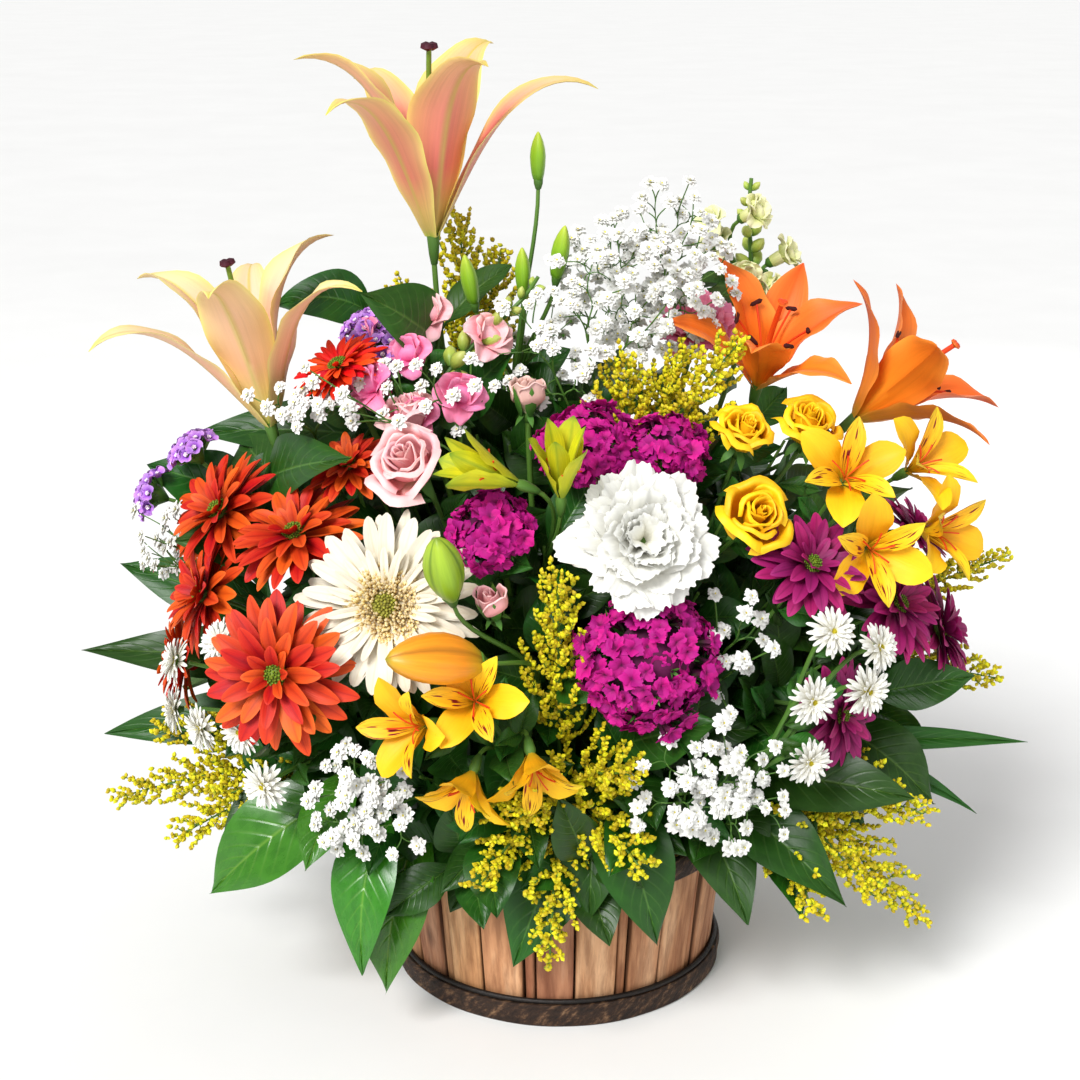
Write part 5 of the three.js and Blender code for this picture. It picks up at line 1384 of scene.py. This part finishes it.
PETAL_LOOKS = {
    "peach": dict(stops=[(0.0, "a4bc3c"), (0.13, "d8c05c"), (0.3, "ea7468"),
        (0.56, "f2967e"), (0.82, "f8c892"), (1.0, "d8cc50")],
        margin=("f2e07c", 1.0, 2.4), rib=("ccc452", 0.9, 7.0), veins=0.16, vary=0.08,
        under_tone=("f6b088", 0.35)),
    "peach_pale": dict(stops=[(0.0, "a6be40"), (0.14, "e2d468"), (0.32, "faba94"),
        (0.6, "ffcfae"), (0.86, "fcdca4"), (1.0, "d8cc58")],
        margin=("f4e68c", 1.0, 2.4), rib=("ccc45a", 0.9, 7.0), veins=0.12, vary=0.08,
        under_tone=("fcd0a0", 0.4)),
    "orange": dict(stops=[(0.0, "dcb430"), (0.12, "f7941e"), (0.5, "f68420"), (1.0, "f06c18")],
        margin=("ffa848", 0.5, 3.0), rib=("ec6a10", 0.5, 8.0), veins=0.18, vary=0.12),
    "bud": dict(stops=[(0.0, "7a962c"), (0.16, "c9a828"), (0.36, "f3a01c"),
        (0.7, "f6a824"), (0.9, "d8b02c"), (1.0, "9a9a2c")],
        veins=0.28, fine=30, Roughness=0.36, seams=("b0761a", 0.75, 9.0)),
    "bud_green": dict(stops=[(0.0, "5f8a24"), (0.4, "86b428"), (0.85, "a4c63a"), (1.0, "7a9a35")],
        veins=0.24, fine=30, Roughness=0.36, seams=("4f7a1c", 0.75, 9.0)),
    "bud_small": dict(stops=[(0.0, "5d8a2c"), (0.5, "a9b84e"), (1.0, "c9cf78")], Roughness=0.4),
    "cream": dict(stops=[(0.0, "d6c894"), (0.25, "e2d6b6"), (0.7, "e9e2d0"), (1.0, "e6dcc6")],
        veins=0.1, vary=0.1, hue=0.0, rib=("dacb9c", 0.35, 5.0)),
    "white": dict(stops=[(0.0, "dcd5a0"), (0.35, "e4e1d2"), (1.0, "eaeae5")], veins=0.07,
        vary=0.08, hue=0.0),
    "gypsophila": dict(stops=[(0.0, "a3ae55"), (0.3, "e6e7d8"), (0.5, "eeeee9"), (1.0, "f2f2ef")],
        veins=0.04, vary=0.05, hue=0.0, under=0.97),
    "scarlet": dict(stops=[(0.0, "8a1204"), (0.4, "dc2306"), (1.0, "e8380c")], vary=0.25),
    # Dark red at the petal roots, orange-red towards the tips: the dark roots are painted shade in the heart
    # of each flower.
    "rust": dict(stops=[(0.0, "7a1402"), (0.3, "a82004"), (0.7, "cb3606"), (1.0, "da460c")],
        margin=("e8581a", 0.4, 2.0), rib=("981a02", 0.5, 4.0), veins=0.22, vary=0.4, hue=0.025),
    "plum": dict(stops=[(0.0, "52052e"), (0.4, "80094e"), (0.85, "9c1462"), (1.0, "ac2070")],
        rib=("62063c", 0.5, 4.0), vary=0.4, veins=0.22),
    # Darkest at the petal roots: partly the florets' own darker eye, partly painted shade between the crowded
    # florets.
    "magenta": dict(stops=[(0.0, "6a0448"), (0.4, "ac0676"), (1.0, "c00a86")], vary=0.5,
        veins=0.12, Roughness=0.7),
    # Green at the root to dark purple: the florets' calyx tubes, and the core inside a sweet william head,
    # whose darkness is painted shade.
    "calyx": dict(stops=[(0.0, "3d5a24"), (0.5, "4a1634"), (1.0, "6a0a48")], vary=0.4,
        Roughness=0.8),
    "pink": dict(stops=[(0.0, "f4d2b4"), (0.4, "f6a6ac"), (0.85, "f9bcc0"), (1.0, "fbcccc")],
        vary=0.12, veins=0.08),
    "rose_pale": dict(stops=[(0.0, "dfe0b0"), (0.4, "eec0ae"), (1.0, "efc8bf")], vary=0.12,
        veins=0.08),
    "hot_pink": dict(stops=[(0.0, "d84a84"), (0.5, "f474a8"), (1.0, "fb98be")], vary=0.2,
        veins=0.12),
    "yellow": dict(stops=[(0.0, "c8b018"), (0.3, "f6b408"), (1.0, "fdc914")], vary=0.14,
        veins=0.12),
    "streaked": dict(stops=[(0.0, "d8c020"), (0.5, "fcc010"), (1.0, "e8c820")],
        spots=("7a1408", 1.5, 0.62), fine=10, vary=0.1),
    "lime": dict(stops=[(0.0, "7f9a20"), (0.3, "c9cc18"), (0.7, "dbd61e"),
        (0.92, "b4c020"), (1.0, "5f8a20")], rib=("8fa81c", 0.7, 4.0), vary=0.15),
    "lilac": dict(stops=[(0.0, "7340a8"), (0.5, "a562cc"), (1.0, "cc98e6")], vary=0.3),
    "pale_green": dict(stops=[(0.0, "a9bf4a"), (0.4, "d2da8c"), (1.0, "f0efc0")], vary=0.14),
    "goldenrod": dict(stops=[(0.0, "8a9c16"), (0.4, "c8bc16"), (1.0, "e8d61e")], vary=0.45,
        hue=0.04, veins=0.1),
    "bud_pod": dict(stops=[(0.0, "3a7e16"), (0.5, "86bc26"), (1.0, "c6da48")], veins=0.22, fine=26,
        Roughness=0.4),
    "green": dict(stops=[(0.0, "35601f"), (0.5, "47782a"), (1.0, "5a8a34")], vary=0.3, veins=0.15,
        Roughness=0.5),
    "style": dict(stops=[(0.0, "8aa03a"), (1.0, "6f9a34")], Roughness=0.4),
    "stigma": dict(stops=[(0.0, "5a1024"), (1.0, "3c0a18")], Roughness=0.6),
    "filament": dict(stops=[(0.0, "c8b030"), (0.5, "f07018"), (1.0, "e85810")]),
    "anther": dict(stops=[(0.0, "2c0c08"), (1.0, "4a160c")], Roughness=0.85),
    "eye": dict(stops=[(0.0, "3c4a10"), (0.6, "5a7a18"), (1.0, "83a024")], vary=0.5),
    "eye_yellow": dict(stops=[(0.0, "8a8c18"), (1.0, "e2cf28")], vary=0.4),
    "eye_gerbera": dict(stops=[(0.0, "5c5c1c"), (1.0, "a4a03c")], vary=0.6),
    "eye_white": dict(stops=[(0.0, "e8c8e0"), (1.0, "f7eef5")]),
    "floss": dict(stops=[(0.0, "a87c28"), (0.5, "dcbc70"), (1.0, "f2e6bc")], vary=0.35),
}
LEAF_LOOKS = {
    # leaf is the darkest green: the leaves' own dark colour, and on the fillers also painted shade deep in
    # the arrangement.
    "leaf": dict(dark="13360c", light="2a5c14", vein_tone="5c863a", roughness=0.3, gloss=0.34),
    "leaf_soft": dict(dark="1c4812", light="386e20", vein_tone="6a9444", roughness=0.38,
        gloss=0.3),
    "leaf_bright": dict(dark="1e5c0c", light="3f8818", vein_tone="6f9f34", roughness=0.2,
        gloss=0.5),
}
WOOD_LOOKS = {
    "wood": dict(stops=[(0.3, "9a6442"), (0.5, "c08a62"), (0.68, "dcae86")], streak="6b3f26"),
    "batten": dict(stops=[(0.3, "8a5236"), (0.5, "ad7350"), (0.7, "c99870")], streak="5a3220"),
}
ROUGH_LOOKS = {
    "iron": dict(stops=[(0.3, "0c0a09"), (0.7, "261f1b")], scale=300, roughness=0.38,
        distance=0.0004, Metallic=0.4),
    "liner": dict(stops=[(0.3, "0f120e"), (0.7, "20261f")], scale=60, roughness=0.35,
        distance=0.0004),
    "foam": dict(stops=[(0.3, "1c3a1a"), (0.7, "3f6a38")], scale=160, roughness=0.85,
        distance=0.0016),
    "floor": dict(stops=[(0.3, "f0f0ef"), (0.7, "f4f4f3")], scale=3, roughness=0.7,
        distance=0.0001),
}
MATERIALS = {"bark": bark_material("bark")}
for make, looks in ((petal_material, PETAL_LOOKS), (leaf_material, LEAF_LOOKS),
                    (wood_material, WOOD_LOOKS), (rough_material, ROUGH_LOOKS)):
    MATERIALS.update({name: make(name, **look) for name, look in looks.items()})


# ---------------------------------------------------------------- pieces
def made(name, parts):
    """One object from {material: forms}."""
    parts = {key: joined(forms) if isinstance(forms, list) else forms
             for key, forms in parts.items()}
    whole = joined(list(parts.values()))
    faces, slots, total = [], [], 0
    for index, form in enumerate(parts.values()):
        for block in form.faces:
            faces.append(block + total)
            slots.append(np.full(len(block), index))
        total += len(form.points)
    sizes = np.concatenate([np.full(len(block), block.shape[1]) for block in faces])
    mesh = bpy.data.meshes.new(name)
    mesh.vertices.add(total)
    mesh.vertices.foreach_set("co", (whole.points * MM).astype(np.float32).ravel())
    mesh.loops.add(int(sizes.sum()))
    mesh.loops.foreach_set("vertex_index", np.concatenate([b.ravel() for b in faces]))
    mesh.polygons.add(len(sizes))
    mesh.polygons.foreach_set("loop_start", np.concatenate([[0], np.cumsum(sizes)[:-1]]))
    mesh.polygons.foreach_set("material_index", np.concatenate(slots))
    mesh.update(calc_edges=True)
    mesh.validate()
    marks = mesh.attributes.new("blade", "FLOAT_COLOR", "POINT")
    marks.data.foreach_set("color", whole.marks.astype(np.float32).ravel())
    mesh.polygons.foreach_set("use_smooth", np.ones(len(mesh.polygons), bool))
    mesh.set_sharp_from_angle(angle=math.radians(SHARP_ANGLE))
    for key in parts:
        mesh.materials.append(MATERIALS[key])
    piece = bpy.data.objects.new(name, mesh)
    bpy.context.scene.collection.objects.link(piece)
    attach(piece, "root")
    return piece


def dress(name, parts, slot):
    """A piece that stands for the CAD node of the same name."""
    piece = made(name + "_fine", parts)
    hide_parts(name)


def with_colour(parts, colour):
    """The plant's own colour in place of petal."""
    forms = parts.pop("petal", [])
    parts.setdefault(colour, []).extend(forms if isinstance(forms, list) else [forms])
    return parts


OWN_COLOUR = dict(lisianthus_buds="bud_pod", lily_left="peach_pale")  # not as their slot's

for name, plan in PLANTS.items():
    dress(name, with_colour(plant(name, plan), OWN_COLOUR.get(name, plan["colour"])), plan["colour"])
for name, plan in CLOUDS.items():
    dress(name, cloud(name, plan), "white")
for name, plan in PLUMES.items():
    dress(name, goldenrod(name, plan), "goldenrod")
for name, plan in SPRIGS.items():
    dress(name, sprig(name, plan), "foliage")
for name, plan in SPRAYS.items():
    made(name, cloud(name, plan))
for name, plan in FILLERS.items():
    made(name, filler(name, plan))
dress("stave_wall", stave_wall(), "wood")
dress("base_hoop", base_hoop(), "bark")
dress("rim_hoop", rim_hoop(), "bark")
for name, material in (("base_board", "batten"), ("liner", "liner"), ("foam", "foam")):
    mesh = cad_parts[name].data
    mesh.materials.clear()
    mesh.materials.append(MATERIALS[material])

# ---------------------------------------------------------------- the stage
FLOOR_REACH = 40  # metres from the middle to each side
WORLD_STRENGTH = 0.42
CAMERA = dict(place=(-0.011, -1.1, 0.6), tilt=73, lens=65.47, sensor=36)  # a tilt of 90 is level

corners = [(x * FLOOR_REACH, y * FLOOR_REACH, 0) for x, y in ((-1, -1), (1, -1), (1, 1), (-1, 1))]
floor_mesh = bpy.data.meshes.new("floor")
floor_mesh.from_pydata(corners, [], [(0, 1, 2, 3)])
floor_mesh.materials.append(MATERIALS["floor"])
floor = bpy.data.objects.new("floor", floor_mesh)
bpy.context.scene.collection.objects.link(floor)
floor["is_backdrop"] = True

world = bpy.data.worlds.new("studio")
bpy.context.scene.world = world
world.use_nodes = True
sky = world.node_tree.nodes["Background"]
sky.inputs["Color"].default_value = (1, 1, 1, 1)
sky.inputs["Strength"].default_value = WORLD_STRENGTH

LAMPS = {  # kind, place, size (radians of a sun, or metres), strength
    "key": ("SUN", (-0.7, -1.1, 1.4), 0.42, 3.3),
    "fill": ("AREA", (1.4, -1.2, 0.9), 1.2, 5),
    "front": ("AREA", (-0.6, -1.7, 0.9), 0.8, 4),
    "back": ("AREA", (0.6, 1.5, 1.0), 1.2, 5),
}
TARGET = vec(0, 0, 0.25)
for name, (kind, place, size, strength) in LAMPS.items():
    lamp = bpy.data.lights.new(name, kind)
    lamp.energy = strength
    if kind == "SUN":
        lamp.angle = size
    else:
        lamp.size = size
    light = bpy.data.objects.new(name, lamp)
    light.location = place
    light.rotation_euler = Vector(TARGET - vec(*place)).to_track_quat("-Z", "Y").to_euler()
    bpy.context.scene.collection.objects.link(light)

camera = bpy.data.objects.new("camera", bpy.data.cameras.new("camera"))
camera.data.sensor_width = CAMERA["sensor"]
camera.data.lens = CAMERA["lens"]
camera.location = CAMERA["place"]
camera.rotation_euler = (math.radians(CAMERA["tilt"]), 0, 0)
bpy.context.scene.collection.objects.link(camera)
bpy.context.scene.camera = camera
bpy.context.scene.view_settings.view_transform = "Standard"

boxes = {"cad": cad_box, "visual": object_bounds()}
{key: [list(corner) for corner in box] for key, box in boxes.items()}
